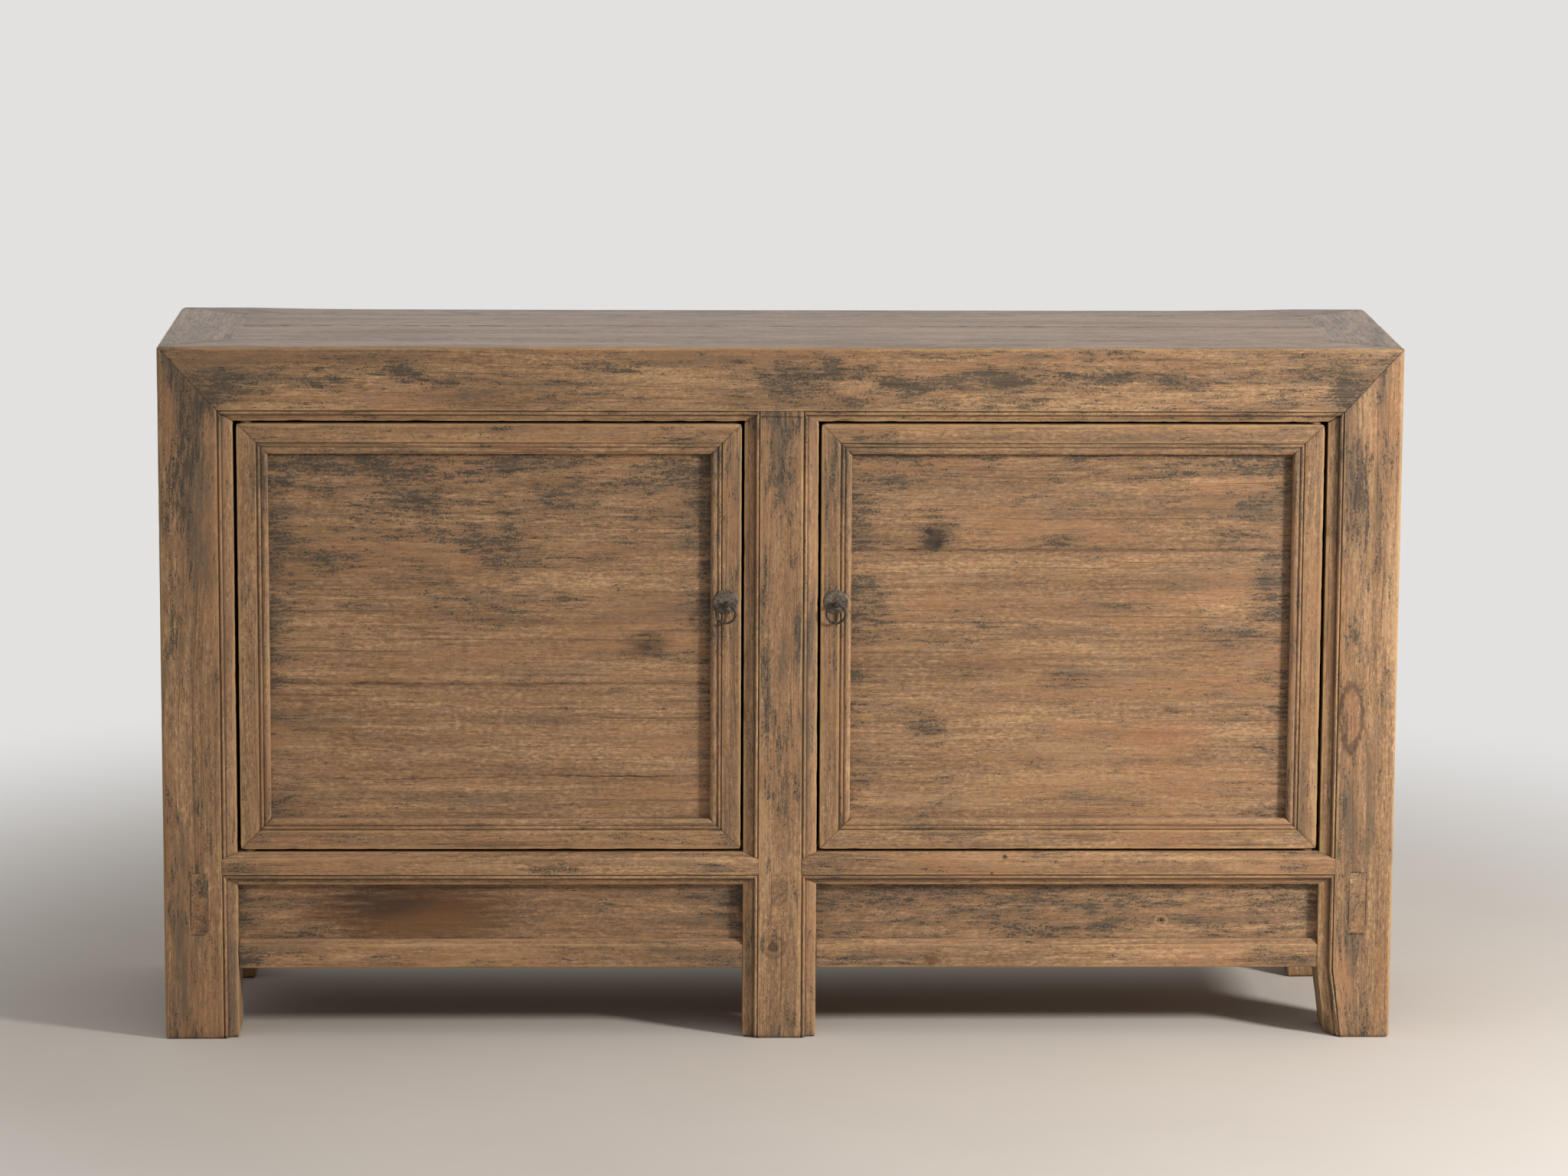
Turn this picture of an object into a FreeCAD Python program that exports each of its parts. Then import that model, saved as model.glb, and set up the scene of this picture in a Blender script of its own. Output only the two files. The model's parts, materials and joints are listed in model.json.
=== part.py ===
import FreeCAD, Part
import math
import os
from FreeCAD import Vector

# A low sideboard with two pivot-hung doors, three front posts and a mitred top frame.
# Millimetres. X runs along the front to the viewer's right, Y from front to back, Z up.
# The origin is on the floor under the middle of the case.

# Case
CASE_WIDTH = 1600.0
CASE_DEPTH = 420.0
CASE_HEIGHT = 910.0

# Posts and top frame
POST_WIDTH = 96.0
POST_DEPTH = 86.0
CENTRE_POST_WIDTH = 96.0
TOP_RAIL_HEIGHT = 97.0
FOOT_TAPER_WIDTH = 12.0

# Bead and chamfer round the door and side openings
BEAD_WIDTH = 6.0
QUIRK_WIDTH = 0.8
QUIRK_DEPTH = 1.4
BEAD_STEP = 3.5
POST_BAND = 20.5
RAIL_BAND = 15.0

# Rails below the doors
LOWER_RAIL_TOP = 248.0
LOWER_RAIL_HEIGHT = 44.0
LOWER_RAIL_DEPTH = 60.0
LOWER_RAIL_CHAMFER = 8.0
SIDE_RAIL_HEIGHT = 118.0
REAR_STILE_WIDTH = 60.0
REAR_STILE_DEPTH = 40.0

# Apron
APRON_RAIL_BOTTOM = 92.0
APRON_RAIL_HEIGHT = 38.0
APRON_RAIL_DEPTH = 40.0
APRON_RAIL_BEVEL = 7.0
APRON_PANEL_THICKNESS = 14.0

# Panels and boards
PANEL_RECESS = 12.0
PANEL_THICKNESS = 6.5
BACK_PANEL_INSET = 20.0
TONGUE_DEPTH = 8.0
TOP_BOARD_THICKNESS = 18.0
TOP_TONGUE_THICKNESS = 8.0
TOP_SEAM_FROM_FRONT = 222.0
TOP_BATTEN_WIDTH = 45.0
TOP_BATTEN_HEIGHT = 30.0
TOP_BATTEN_OFFSET = 240.0
BACK_LOWER_BOARD_WIDTH = 320.0
FLOOR_THICKNESS = 18.0
FLOOR_LIP = 8.0
FLOOR_BEARING = 14.0
FLOOR_BOARDS = 3
BEARER_WIDTH = 60.0
BEARER_HEIGHT = 100.0

# Tenons
TENON_THICKNESS = 20.0
TENON_SHOULDER = 8.0
TENON_WALL = 5.0
HEAD_TENON_LENGTH = 34.0
THROUGH_TENON_WIDTH = 22.0
THROUGH_TENON_FROM_SIDE = 35.0
THROUGH_TENON_LOWER_SHOULDER = 11.0
THROUGH_TENON_UPPER_SHOULDER = 27.0
CORNER_TENON_WIDTH = 30.0
CORNER_TENON_COVER = 30.0

# Doors
DOOR_RECESS = 9.0
DOOR_FRAME_WIDTH = 40.0
DOOR_FLAT_WIDTH = 24.5
DOOR_BEAD_WIDTH = 6.5
DOOR_ROLL_DROP = 1.0
DOOR_EDGE_DROP = 3.0
DOOR_GAP = 3.0
HINGE_GAP = 4.0
HINGE_FRONT_ROUND = 5.0
PIVOT_RADIUS = 8.0
PIVOT_UPPER_LENGTH = 20.0
PIVOT_UPPER_SOCKET = 30.0
PIVOT_LOWER_LENGTH = 14.0
LEFT_LOWER_BOARD_WIDTH = 185.0
RIGHT_UPPER_BOARD_WIDTH = 133.6
DOOR_BATTEN_WIDTH = 36.0
DOOR_BATTEN_THICKNESS = 5.5
DOOR_TENON_WALL = 1.0
DOOR_TENON_LENGTH = 18.0

# Ring pulls
PULL_HEIGHT = 578.0
PLATE_RADIUS = 16.5
PLATE_RIM = 0.6
PLATE_DOME = 1.6
PLATE_DOME_RADIUS = 13.0
EYE_DROP = 2.5
EYE_WALL = 1.5
EYE_PLAY = 0.9
EYE_WIDTH = 5.0
EYE_GAP = 1.2
SHANK_HEIGHT = 3.0
CLINCH_LENGTH = 14.0
CLINCH_THICKNESS = 1.5
RING_RADIUS = 12.2
RING_WIRE_RADIUS = 1.8

# Clearances
JOINT_CLEARANCE = 0.2
PANEL_PLAY = 1.0
BOARD_GAP = 0.4
RUNNING_CLEARANCE = 0.3
DOOR_STOP_CLEARANCE = 1.5

# Places worked out from the sizes
LEFT = -CASE_WIDTH / 2
FRONT = -CASE_DEPTH / 2
BACK = CASE_DEPTH / 2
TOP = CASE_HEIGHT
POST_INNER = LEFT + POST_WIDTH
POST_REAR = FRONT + POST_DEPTH
CENTRE_LEFT = -CENTRE_POST_WIDTH / 2
OPENING_TOP = TOP - TOP_RAIL_HEIGHT
LOWER_RAIL_BOTTOM = LOWER_RAIL_TOP - LOWER_RAIL_HEIGHT
LOWER_RAIL_REAR = FRONT + LOWER_RAIL_DEPTH
SIDE_RAIL_BOTTOM = LOWER_RAIL_TOP - SIDE_RAIL_HEIGHT
THROUGH_TENON_INNER = LEFT + THROUGH_TENON_FROM_SIDE + THROUGH_TENON_WIDTH
SIDE_RAIL_INNER = THROUGH_TENON_INNER + TENON_WALL
POST_TENON_END = THROUGH_TENON_INNER + TENON_WALL
CENTRE_TENON_END = -THROUGH_TENON_WIDTH / 2 - TENON_WALL
FLOOR_TOP = LOWER_RAIL_TOP + FLOOR_LIP
FLOOR_BOTTOM = FLOOR_TOP - FLOOR_THICKNESS
APRON_RAIL_TOP = APRON_RAIL_BOTTOM + APRON_RAIL_HEIGHT
PANEL_INSET = DOOR_RECESS + PANEL_RECESS
DOOR_THICKNESS = PANEL_RECESS + PANEL_THICKNESS + DOOR_BATTEN_THICKNESS
DOOR_FRONT = FRONT + DOOR_RECESS
DOOR_BACK = DOOR_FRONT + DOOR_THICKNESS
DOOR_LEFT = POST_INNER + HINGE_GAP
DOOR_RIGHT = CENTRE_LEFT - DOOR_GAP
DOOR_BOTTOM = LOWER_RAIL_TOP + DOOR_GAP
DOOR_TOP = OPENING_TOP - DOOR_GAP
DOOR_PANEL_BOTTOM = DOOR_BOTTOM + DOOR_FRAME_WIDTH - TONGUE_DEPTH
DOOR_PANEL_TOP = DOOR_TOP - DOOR_FRAME_WIDTH + TONGUE_DEPTH
LEFT_DOOR_SEAM = DOOR_PANEL_BOTTOM + LEFT_LOWER_BOARD_WIDTH
RIGHT_DOOR_SEAM = DOOR_PANEL_TOP - RIGHT_UPPER_BOARD_WIDTH - BOARD_GAP
HINGE_X = DOOR_LEFT + DOOR_THICKNESS / 2
HINGE_Y = DOOR_FRONT + DOOR_THICKNESS / 2
PULL_X = DOOR_RIGHT - DOOR_FRAME_WIDTH / 2
EYE_HOLE_RADIUS = RING_WIRE_RADIUS + EYE_PLAY
EYE_RADIUS = EYE_HOLE_RADIUS + EYE_WALL
EYE_Y = DOOR_FRONT - PLATE_DOME - EYE_GAP - EYE_RADIUS
EYE_Z = PULL_HEIGHT - EYE_DROP


def box(x, y, z):
    """A block from three (low, high) pairs."""
    size = [high - low for low, high in (x, y, z)]
    return Part.makeBox(*size, Vector(x[0], y[0], z[0]))


def grown(block, by):
    """The box around a block, larger by a clearance on every side."""
    b = block.BoundBox
    return box((b.XMin - by, b.XMax + by), (b.YMin - by, b.YMax + by), (b.ZMin - by, b.ZMax + by))


def joined(first, *others):
    """One solid from several that touch or overlap."""
    shape = first.fuse(list(others))
    return shape.removeSplitter()


def outline(points, place):
    """A closed face. Each entry is a point, or a (point on arc, end of arc) pair, in (u, v)."""
    edges = []
    last = points[-1] if not isinstance(points[-1][0], tuple) else points[-1][1]
    for entry in points:
        if isinstance(entry[0], tuple):
            middle, end = entry
            edges.append(Part.Arc(place(*last), place(*middle), place(*end)).toShape())
        else:
            end = entry
            edges.append(Part.LineSegment(place(*last), place(*end)).toShape())
        last = end
    return Part.Face(Part.Wire(edges))


def front_prism(points):
    """A front-view (x, z) polygon, extruded through the whole depth of the case."""
    face = outline(points, lambda x, z: Vector(x, FRONT - CASE_DEPTH, z))
    return face.extrude(Vector(0, 3 * CASE_DEPTH, 0))


def side_prism(points):
    """A side-view (y, z) polygon, extruded through the whole width of the case."""
    face = outline(points, lambda y, z: Vector(LEFT - CASE_WIDTH, y, z))
    return face.extrude(Vector(3 * CASE_WIDTH, 0, 0))


def top_prism(points):
    """A top-view (x, y) polygon, extruded through the whole height of the case."""
    face = outline(points, lambda x, y: Vector(x, y, -CASE_HEIGHT))
    return face.extrude(Vector(0, 0, 3 * CASE_HEIGHT))


def mirrored(shape):
    """The same piece on the other side of the middle plane."""
    return shape.mirror(Vector(0, 0, 0), Vector(1, 0, 0))


def edge_waste(points, start, along, inward, run):
    """What a moulding takes off an edge: (along, inward) points swept from start along run."""
    face = outline(points, lambda a, d: start + along * a + inward * d)
    return face.extrude(run)


def bead_waste(band, start, along, inward, run):
    """Quirk, bead, step and chamfer that lead from a flat face down to the door's plane."""
    crest = (QUIRK_WIDTH + BEAD_WIDTH) / 2
    points = [
        (0, 0),
        (QUIRK_WIDTH, QUIRK_DEPTH),
        ((crest, 0), (BEAD_WIDTH, QUIRK_DEPTH)),
        (BEAD_WIDTH, BEAD_STEP),
        (band, DOOR_RECESS),
        (band + DOOR_RECESS, DOOR_RECESS),
        (band + DOOR_RECESS, -DOOR_RECESS),
        (0, -DOOR_RECESS),
    ]
    return edge_waste(points, start, along, inward, run)


def chamfer_waste(along_size, inward_size, start, along, inward, run):
    """A plain chamfer on the edge at start."""
    points = [(0, 0), (along_size, 0), (0, inward_size)]
    return edge_waste(points, start, along, inward, run)


def mitre_steps(size, band):
    """Distances from a corner where the mitre line crosses the flat face, the bead and the chamfer."""
    flat = size - band
    return [0, flat, flat + BEAD_WIDTH, size]


X_AXIS = Vector(1, 0, 0)
Y_AXIS = Vector(0, 1, 0)
Z_AXIS = Vector(0, 0, 1)
ACROSS = mitre_steps(POST_WIDTH, POST_BAND)
DEEP = mitre_steps(POST_DEPTH, POST_BAND)
HIGH = mitre_steps(TOP_RAIL_HEIGHT, RAIL_BAND)
parts = {}


# Top frame and corner posts, mitred three ways at each corner
def corner_post(front):
    """The left post of the front or the rear, with its mitred head."""
    y_face = FRONT if front else BACK
    inward = 1 if front else -1
    y_span = sorted((y_face, y_face + inward * POST_DEPTH))
    post = box((LEFT, POST_INNER), y_span, (0, TOP))
    front_view = [(LEFT + a, TOP - h) for a, h in zip(ACROSS, HIGH)]
    side_view = [(y_face + inward * d, TOP - h) for d, h in zip(DEEP, HIGH)]
    post = post.common(front_prism(front_view + [(POST_INNER, 0), (LEFT, 0)]))
    post = post.common(side_prism(side_view + [(y_face + inward * POST_DEPTH, 0), (y_face, 0)]))
    side_flat = Vector(LEFT, y_face + inward * (POST_DEPTH - POST_BAND), 0)
    post = post.cut(bead_waste(POST_BAND, side_flat, Y_AXIS * inward, X_AXIS, Z_AXIS * TOP))
    if front:
        front_flat = Vector(POST_INNER - POST_BAND, FRONT, 0)
        post = post.cut(bead_waste(POST_BAND, front_flat, X_AXIS, Y_AXIS, Z_AXIS * TOP))
    return post


def corner_tenon(front):
    """The square tenon on a post's head that both top rails are cut for."""
    x_middle = LEFT + POST_WIDTH / 2
    y_middle = FRONT + POST_DEPTH / 2 if front else BACK - POST_DEPTH / 2
    half = CORNER_TENON_WIDTH / 2
    return box(
        (x_middle - half, x_middle + half),
        (y_middle - half, y_middle + half),
        (OPENING_TOP - TOP_RAIL_HEIGHT, TOP - CORNER_TENON_COVER),
    )


def long_top_rail(front):
    """The front or rear top rail, with mitred ends."""
    y_face = FRONT if front else BACK
    inward = 1 if front else -1
    y_span = sorted((y_face, y_face + inward * POST_DEPTH))
    rail = box((LEFT, -LEFT), y_span, (OPENING_TOP, TOP))
    left_end = [(LEFT + a, TOP - h) for a, h in zip(ACROSS, HIGH)]
    right_end = [(-x, z) for x, z in reversed(left_end)]
    rail = rail.common(front_prism(left_end + right_end))
    left_end = [(LEFT + a, y_face + inward * d) for a, d in zip(ACROSS, DEEP)]
    right_end = [(-x, y) for x, y in reversed(left_end)]
    rail = rail.common(top_prism(left_end + right_end))
    if front:
        flat_end = Vector(LEFT, FRONT, OPENING_TOP + RAIL_BAND)
        rail = rail.cut(bead_waste(RAIL_BAND, flat_end, -Z_AXIS, Y_AXIS, X_AXIS * CASE_WIDTH))
    return rail


def side_top_rail():
    """The left top rail, with mitred ends."""
    rail = box((LEFT, POST_INNER), (FRONT, BACK), (OPENING_TOP, TOP))
    front_end = [(LEFT + a, FRONT + d) for a, d in zip(ACROSS, DEEP)]
    rear_end = [(x, -y) for x, y in reversed(front_end)]
    rail = rail.common(top_prism(front_end + rear_end))
    front_end = [(FRONT + d, TOP - h) for d, h in zip(DEEP, HIGH)]
    rear_end = [(-y, z) for y, z in reversed(front_end)]
    rail = rail.common(side_prism(front_end + rear_end))
    flat_end = Vector(LEFT, FRONT, OPENING_TOP + RAIL_BAND)
    return rail.cut(bead_waste(RAIL_BAND, flat_end, -Z_AXIS, X_AXIS, Y_AXIS * CASE_DEPTH))


front_post = corner_post(front=True)
rear_post = corner_post(front=False)
front_rail = long_top_rail(front=True)
rear_rail = long_top_rail(front=False)
left_rail = side_top_rail()
front_tenon = corner_tenon(front=True)
rear_tenon = corner_tenon(front=False)
for tenon in (front_tenon, rear_tenon):
    mortise = grown(tenon, JOINT_CLEARANCE)
    left_rail = left_rail.cut(mortise)
    front_rail = front_rail.cut([mortise, mirrored(mortise)])
    rear_rail = rear_rail.cut([mortise, mirrored(mortise)])
front_post = joined(front_post, front_tenon)
rear_post = joined(rear_post, rear_tenon)


# Centre post, its face lapping the top rail's moulding, with a tenon into the rail
def lap_slab(z):
    """The layer behind the front face where one member's moulding is lapped by another's face."""
    return box((LEFT, -LEFT), (FRONT, FRONT + DOOR_RECESS), z)


centre_half = [CENTRE_POST_WIDTH / 2 - POST_BAND + step for step in (0, BEAD_WIDTH, POST_BAND)]
centre_head = [OPENING_TOP + RAIL_BAND - step for step in (0, BEAD_WIDTH, RAIL_BAND)]
right_shoulder = list(zip(centre_half, centre_head))
left_shoulder = [(-x, z) for x, z in reversed(right_shoulder)]
centre_lap = front_prism(left_shoulder + right_shoulder).common(lap_slab((OPENING_TOP, TOP)))
front_rail = front_rail.cut(centre_lap)
centre_body = box((CENTRE_LEFT, -CENTRE_LEFT), (FRONT, LOWER_RAIL_REAR), (0, OPENING_TOP))
centre_flat = Vector(-CENTRE_LEFT - POST_BAND, FRONT, 0)
centre_bead = bead_waste(POST_BAND, centre_flat, X_AXIS, Y_AXIS, Z_AXIS * TOP)
centre_post = joined(centre_body, centre_lap).cut([centre_bead, mirrored(centre_bead)])
centre_tenon_front = (FRONT + LOWER_RAIL_REAR - TENON_THICKNESS) / 2
centre_tenon = box(
    (-CORNER_TENON_WIDTH / 2, CORNER_TENON_WIDTH / 2),
    (centre_tenon_front, centre_tenon_front + TENON_THICKNESS),
    (OPENING_TOP - HEAD_TENON_LENGTH, OPENING_TOP + HEAD_TENON_LENGTH),
)
front_rail = front_rail.cut(grown(centre_tenon, JOINT_CLEARANCE))
centre_post = joined(centre_post, centre_tenon)


def lapped_outline(start, end, bottom):
    """The face of a lower rail whose pointed ends lap the mouldings of the posts at start and end."""
    reach = [0, POST_BAND - BEAD_WIDTH, POST_BAND, POST_BAND, 0]
    level = [bottom, bottom + RAIL_BAND - BEAD_WIDTH, bottom + RAIL_BAND]
    level += [LOWER_RAIL_TOP - LOWER_RAIL_CHAMFER, LOWER_RAIL_TOP]
    near = [(start - r, z) for r, z in zip(reach, level)]
    far = [(end + r, z) for r, z in zip(reach, level)]
    return near + far[::-1]


def lower_rail_wastes(start, bottom, inward, run):
    """The moulding under a lower rail's face and the chamfer above it."""
    flat_end = start + Z_AXIS * (bottom + RAIL_BAND)
    top_edge = start + Z_AXIS * LOWER_RAIL_TOP
    return [
        bead_waste(RAIL_BAND, flat_end, -Z_AXIS, inward, run),
        chamfer_waste(LOWER_RAIL_CHAMFER, DOOR_RECESS, top_edge, -Z_AXIS, inward, run),
    ]


# Front lower rail: chamfered above, moulded below
lower_rail_span = (LOWER_RAIL_BOTTOM, LOWER_RAIL_TOP)
lower_rail_face = front_prism(lapped_outline(POST_INNER, CENTRE_LEFT, LOWER_RAIL_BOTTOM))
lower_rail_lap = lower_rail_face.common(lap_slab(lower_rail_span))
front_lower_rail = box((POST_INNER, CENTRE_LEFT), (FRONT, LOWER_RAIL_REAR), lower_rail_span)
front_lower_rail = joined(front_lower_rail, lower_rail_lap)
front_lower_rail = front_lower_rail.cut(
    lower_rail_wastes(Vector(LEFT, FRONT, 0), LOWER_RAIL_BOTTOM, Y_AXIS, X_AXIS * CASE_WIDTH)
)
rail_tenon_y = (LOWER_RAIL_REAR - TENON_SHOULDER - TENON_THICKNESS, LOWER_RAIL_REAR - TENON_SHOULDER)
rail_tenon_z = (LOWER_RAIL_BOTTOM + 2 * TENON_SHOULDER, LOWER_RAIL_TOP - 2 * TENON_SHOULDER)
rail_tenon = box((POST_TENON_END, CENTRE_TENON_END), rail_tenon_y, rail_tenon_z)
rail_mortise = grown(rail_tenon, JOINT_CLEARANCE)
front_post = front_post.cut([lower_rail_lap, rail_mortise])
for cutter in (lower_rail_lap, rail_mortise):
    centre_post = centre_post.cut([cutter, mirrored(cutter)])
front_lower_rail = joined(front_lower_rail, rail_tenon)

# Side lower rail: broad, flush with the posts' side faces, through-tenoned to the front and the back
side_rail_span = (SIDE_RAIL_BOTTOM, LOWER_RAIL_TOP)
side_rail_face = side_prism(lapped_outline(POST_REAR, -POST_REAR, SIDE_RAIL_BOTTOM))
side_rail_lap = side_rail_face.common(box((LEFT, LEFT + DOOR_RECESS), (FRONT, BACK), side_rail_span))
side_rail = box((LEFT, SIDE_RAIL_INNER), (POST_REAR, -POST_REAR), side_rail_span)
side_rail = joined(side_rail, side_rail_lap)
side_rail = side_rail.cut(
    lower_rail_wastes(Vector(LEFT, FRONT, 0), SIDE_RAIL_BOTTOM, X_AXIS, Y_AXIS * CASE_DEPTH)
)
through_tenon = box(
    (LEFT + THROUGH_TENON_FROM_SIDE, THROUGH_TENON_INNER),
    (FRONT, BACK),
    (SIDE_RAIL_BOTTOM + THROUGH_TENON_LOWER_SHOULDER, LOWER_RAIL_TOP - THROUGH_TENON_UPPER_SHOULDER),
)
through_mortise = grown(through_tenon, JOINT_CLEARANCE)
front_post = front_post.cut([side_rail_lap, through_mortise])
rear_post = rear_post.cut([side_rail_lap, through_mortise])
side_rail = joined(side_rail, through_tenon)

# Rear lower rail and rear centre stile
rear_lower_rail = box((POST_INNER, -POST_INNER), (-LOWER_RAIL_REAR, BACK), lower_rail_span)
rear_tenon_y = (-rail_tenon_y[1], -rail_tenon_y[0])
rear_rail_tenon = box((POST_TENON_END, -POST_TENON_END), rear_tenon_y, rail_tenon_z)
rear_post = rear_post.cut(grown(rear_rail_tenon, JOINT_CLEARANCE))
rear_lower_rail = joined(rear_lower_rail, rear_rail_tenon)
stile_x = (-REAR_STILE_WIDTH / 2, REAR_STILE_WIDTH / 2)
rear_stile = box(stile_x, (BACK - REAR_STILE_DEPTH, BACK), (LOWER_RAIL_TOP, OPENING_TOP))
stile_tenon = box(
    (stile_x[0] + TENON_SHOULDER, stile_x[1] - TENON_SHOULDER),
    (BACK - (REAR_STILE_DEPTH + TENON_THICKNESS) / 2, BACK - (REAR_STILE_DEPTH - TENON_THICKNESS) / 2),
    (LOWER_RAIL_TOP - LOWER_RAIL_HEIGHT / 2, OPENING_TOP + HEAD_TENON_LENGTH),
)
stile_mortise = grown(stile_tenon, JOINT_CLEARANCE)
rear_lower_rail = rear_lower_rail.cut(stile_mortise)
rear_rail = rear_rail.cut(stile_mortise)
rear_stile = joined(rear_stile, stile_tenon)

# Floor bearer, through-tenoned into the centre post and stub-tenoned into the rear lower rail
bearer_x = (-BEARER_WIDTH / 2, BEARER_WIDTH / 2)
bearer_bottom = FLOOR_BOTTOM - BEARER_HEIGHT
bearer = box(bearer_x, (LOWER_RAIL_REAR, -LOWER_RAIL_REAR), (bearer_bottom, FLOOR_BOTTOM))
bearer_front_tenon = box(
    (-THROUGH_TENON_WIDTH / 2, THROUGH_TENON_WIDTH / 2),
    (FRONT, LOWER_RAIL_REAR),
    (bearer_bottom + TENON_SHOULDER, FLOOR_BOTTOM - 2 * TENON_SHOULDER),
)
bearer_rear_tenon = box(
    (bearer_x[0] + TENON_SHOULDER, bearer_x[1] - TENON_SHOULDER),
    (-LOWER_RAIL_REAR - TENON_SHOULDER, -LOWER_RAIL_REAR + 2 * TENON_SHOULDER),
    (LOWER_RAIL_BOTTOM + TENON_SHOULDER, FLOOR_BOTTOM - TENON_SHOULDER),
)
centre_post = centre_post.cut(grown(bearer_front_tenon, JOINT_CLEARANCE))
rear_lower_rail = rear_lower_rail.cut(grown(bearer_rear_tenon, JOINT_CLEARANCE))
bearer = joined(bearer, bearer_front_tenon, bearer_rear_tenon)

# Apron: a recessed panel between the lower rail and a bevelled apron rail
apron_rail_front = FRONT + DOOR_RECESS
apron_rail_y = (apron_rail_front, apron_rail_front + APRON_RAIL_DEPTH)
apron_rail = box((POST_INNER, CENTRE_LEFT), apron_rail_y, (APRON_RAIL_BOTTOM, APRON_RAIL_TOP))
apron_rail = apron_rail.cut(chamfer_waste(
    APRON_RAIL_BEVEL, APRON_RAIL_BEVEL,
    Vector(POST_INNER, apron_rail_front, APRON_RAIL_TOP),
    -Z_AXIS, Y_AXIS, X_AXIS * (CENTRE_LEFT - POST_INNER),
))
apron_tenon = box(
    (POST_TENON_END, CENTRE_TENON_END),
    (apron_rail_y[0] + TENON_SHOULDER, apron_rail_y[1] - TENON_SHOULDER),
    (APRON_RAIL_BOTTOM + TENON_SHOULDER, APRON_RAIL_TOP - 2 * TENON_SHOULDER),
)
apron_mortise = grown(apron_tenon, JOINT_CLEARANCE)
front_post = front_post.cut(apron_mortise)
centre_post = centre_post.cut([apron_mortise, mirrored(apron_mortise)])
apron_rail = joined(apron_rail, apron_tenon)
apron_panel = box(
    (POST_INNER - TONGUE_DEPTH, CENTRE_LEFT + TONGUE_DEPTH),
    (FRONT + PANEL_INSET, FRONT + PANEL_INSET + APRON_PANEL_THICKNESS),
    (APRON_RAIL_TOP - TONGUE_DEPTH, LOWER_RAIL_BOTTOM + TONGUE_DEPTH),
)


def groove_for(panel, thin_axis):
    """The groove a panel sits in: tight across its thickness, with play at its edges."""
    b = panel.BoundBox
    spans = [(b.XMin, b.XMax), (b.YMin, b.YMax), (b.ZMin, b.ZMax)]
    play = [JOINT_CLEARANCE if axis == thin_axis else PANEL_PLAY for axis in range(3)]
    return box(*[(low - p, high + p) for (low, high), p in zip(spans, play)])


apron_groove = groove_for(apron_panel, 1)
front_post = front_post.cut(apron_groove)
centre_post = centre_post.cut([apron_groove, mirrored(apron_groove)])
front_lower_rail = front_lower_rail.cut(apron_groove)
apron_rail = apron_rail.cut(apron_groove)

# Side panel, in grooves of the posts, the side top rail and the side lower rail
side_panel = box(
    (LEFT + PANEL_INSET, LEFT + PANEL_INSET + PANEL_THICKNESS),
    (POST_REAR - TONGUE_DEPTH, -POST_REAR + TONGUE_DEPTH),
    (LOWER_RAIL_TOP - TONGUE_DEPTH, OPENING_TOP + TONGUE_DEPTH),
)
side_groove = groove_for(side_panel, 0)
front_post = front_post.cut(side_groove)
rear_post = rear_post.cut(side_groove)
side_rail = side_rail.cut(side_groove)
left_rail = left_rail.cut(side_groove)

# Back boards, two in each bay
back_y = (BACK - BACK_PANEL_INSET - PANEL_THICKNESS, BACK - BACK_PANEL_INSET)
back_x = (POST_INNER - TONGUE_DEPTH, stile_x[0] + TONGUE_DEPTH)
back_bottom = LOWER_RAIL_TOP - TONGUE_DEPTH
back_seam = back_bottom + BACK_LOWER_BOARD_WIDTH
back_lower = box(back_x, back_y, (back_bottom, back_seam))
back_upper = box(back_x, back_y, (back_seam + BOARD_GAP, OPENING_TOP + TONGUE_DEPTH))
back_groove = groove_for(joined(back_lower, back_upper), 1)
rear_post = rear_post.cut(back_groove)
rear_stile = rear_stile.cut([back_groove, mirrored(back_groove)])
rear_rail = rear_rail.cut([back_groove, mirrored(back_groove)])
rear_lower_rail = rear_lower_rail.cut([back_groove, mirrored(back_groove)])

# Floor boards, resting in rabbets of the lower rails and notched round the posts
floor_front = DOOR_BACK + DOOR_STOP_CLEARANCE
floor_back = -LOWER_RAIL_REAR + FLOOR_BEARING
floor_end = SIDE_RAIL_INNER - FLOOR_BEARING
board_pitch = (floor_back - floor_front + BOARD_GAP) / FLOOR_BOARDS
floor_z = (FLOOR_BOTTOM, FLOOR_TOP)
rabbet_x = (floor_end - PANEL_PLAY, PANEL_PLAY - floor_end)
rabbet_y = (floor_front - JOINT_CLEARANCE, floor_back + PANEL_PLAY)
rabbet = box(rabbet_x, rabbet_y, floor_z)
side_rail = side_rail.cut(rabbet)
rear_lower_rail = rear_lower_rail.cut(rabbet)
front_lower_rail = front_lower_rail.cut(rabbet)
post_blocks = [
    box((LEFT, POST_INNER + JOINT_CLEARANCE), (FRONT, POST_REAR + JOINT_CLEARANCE), floor_z),
    box((LEFT, POST_INNER + JOINT_CLEARANCE), (-POST_REAR - JOINT_CLEARANCE, BACK), floor_z),
]
post_blocks += [mirrored(block) for block in post_blocks]
post_blocks.append(grown(box((CENTRE_LEFT, -CENTRE_LEFT), (FRONT, LOWER_RAIL_REAR), floor_z), JOINT_CLEARANCE))
floor_boards = []
for number in range(FLOOR_BOARDS):
    start = floor_front + number * board_pitch
    board = box((floor_end, -floor_end), (start, start + board_pitch - BOARD_GAP), floor_z)
    floor_boards.append(board.cut(post_blocks))

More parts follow.
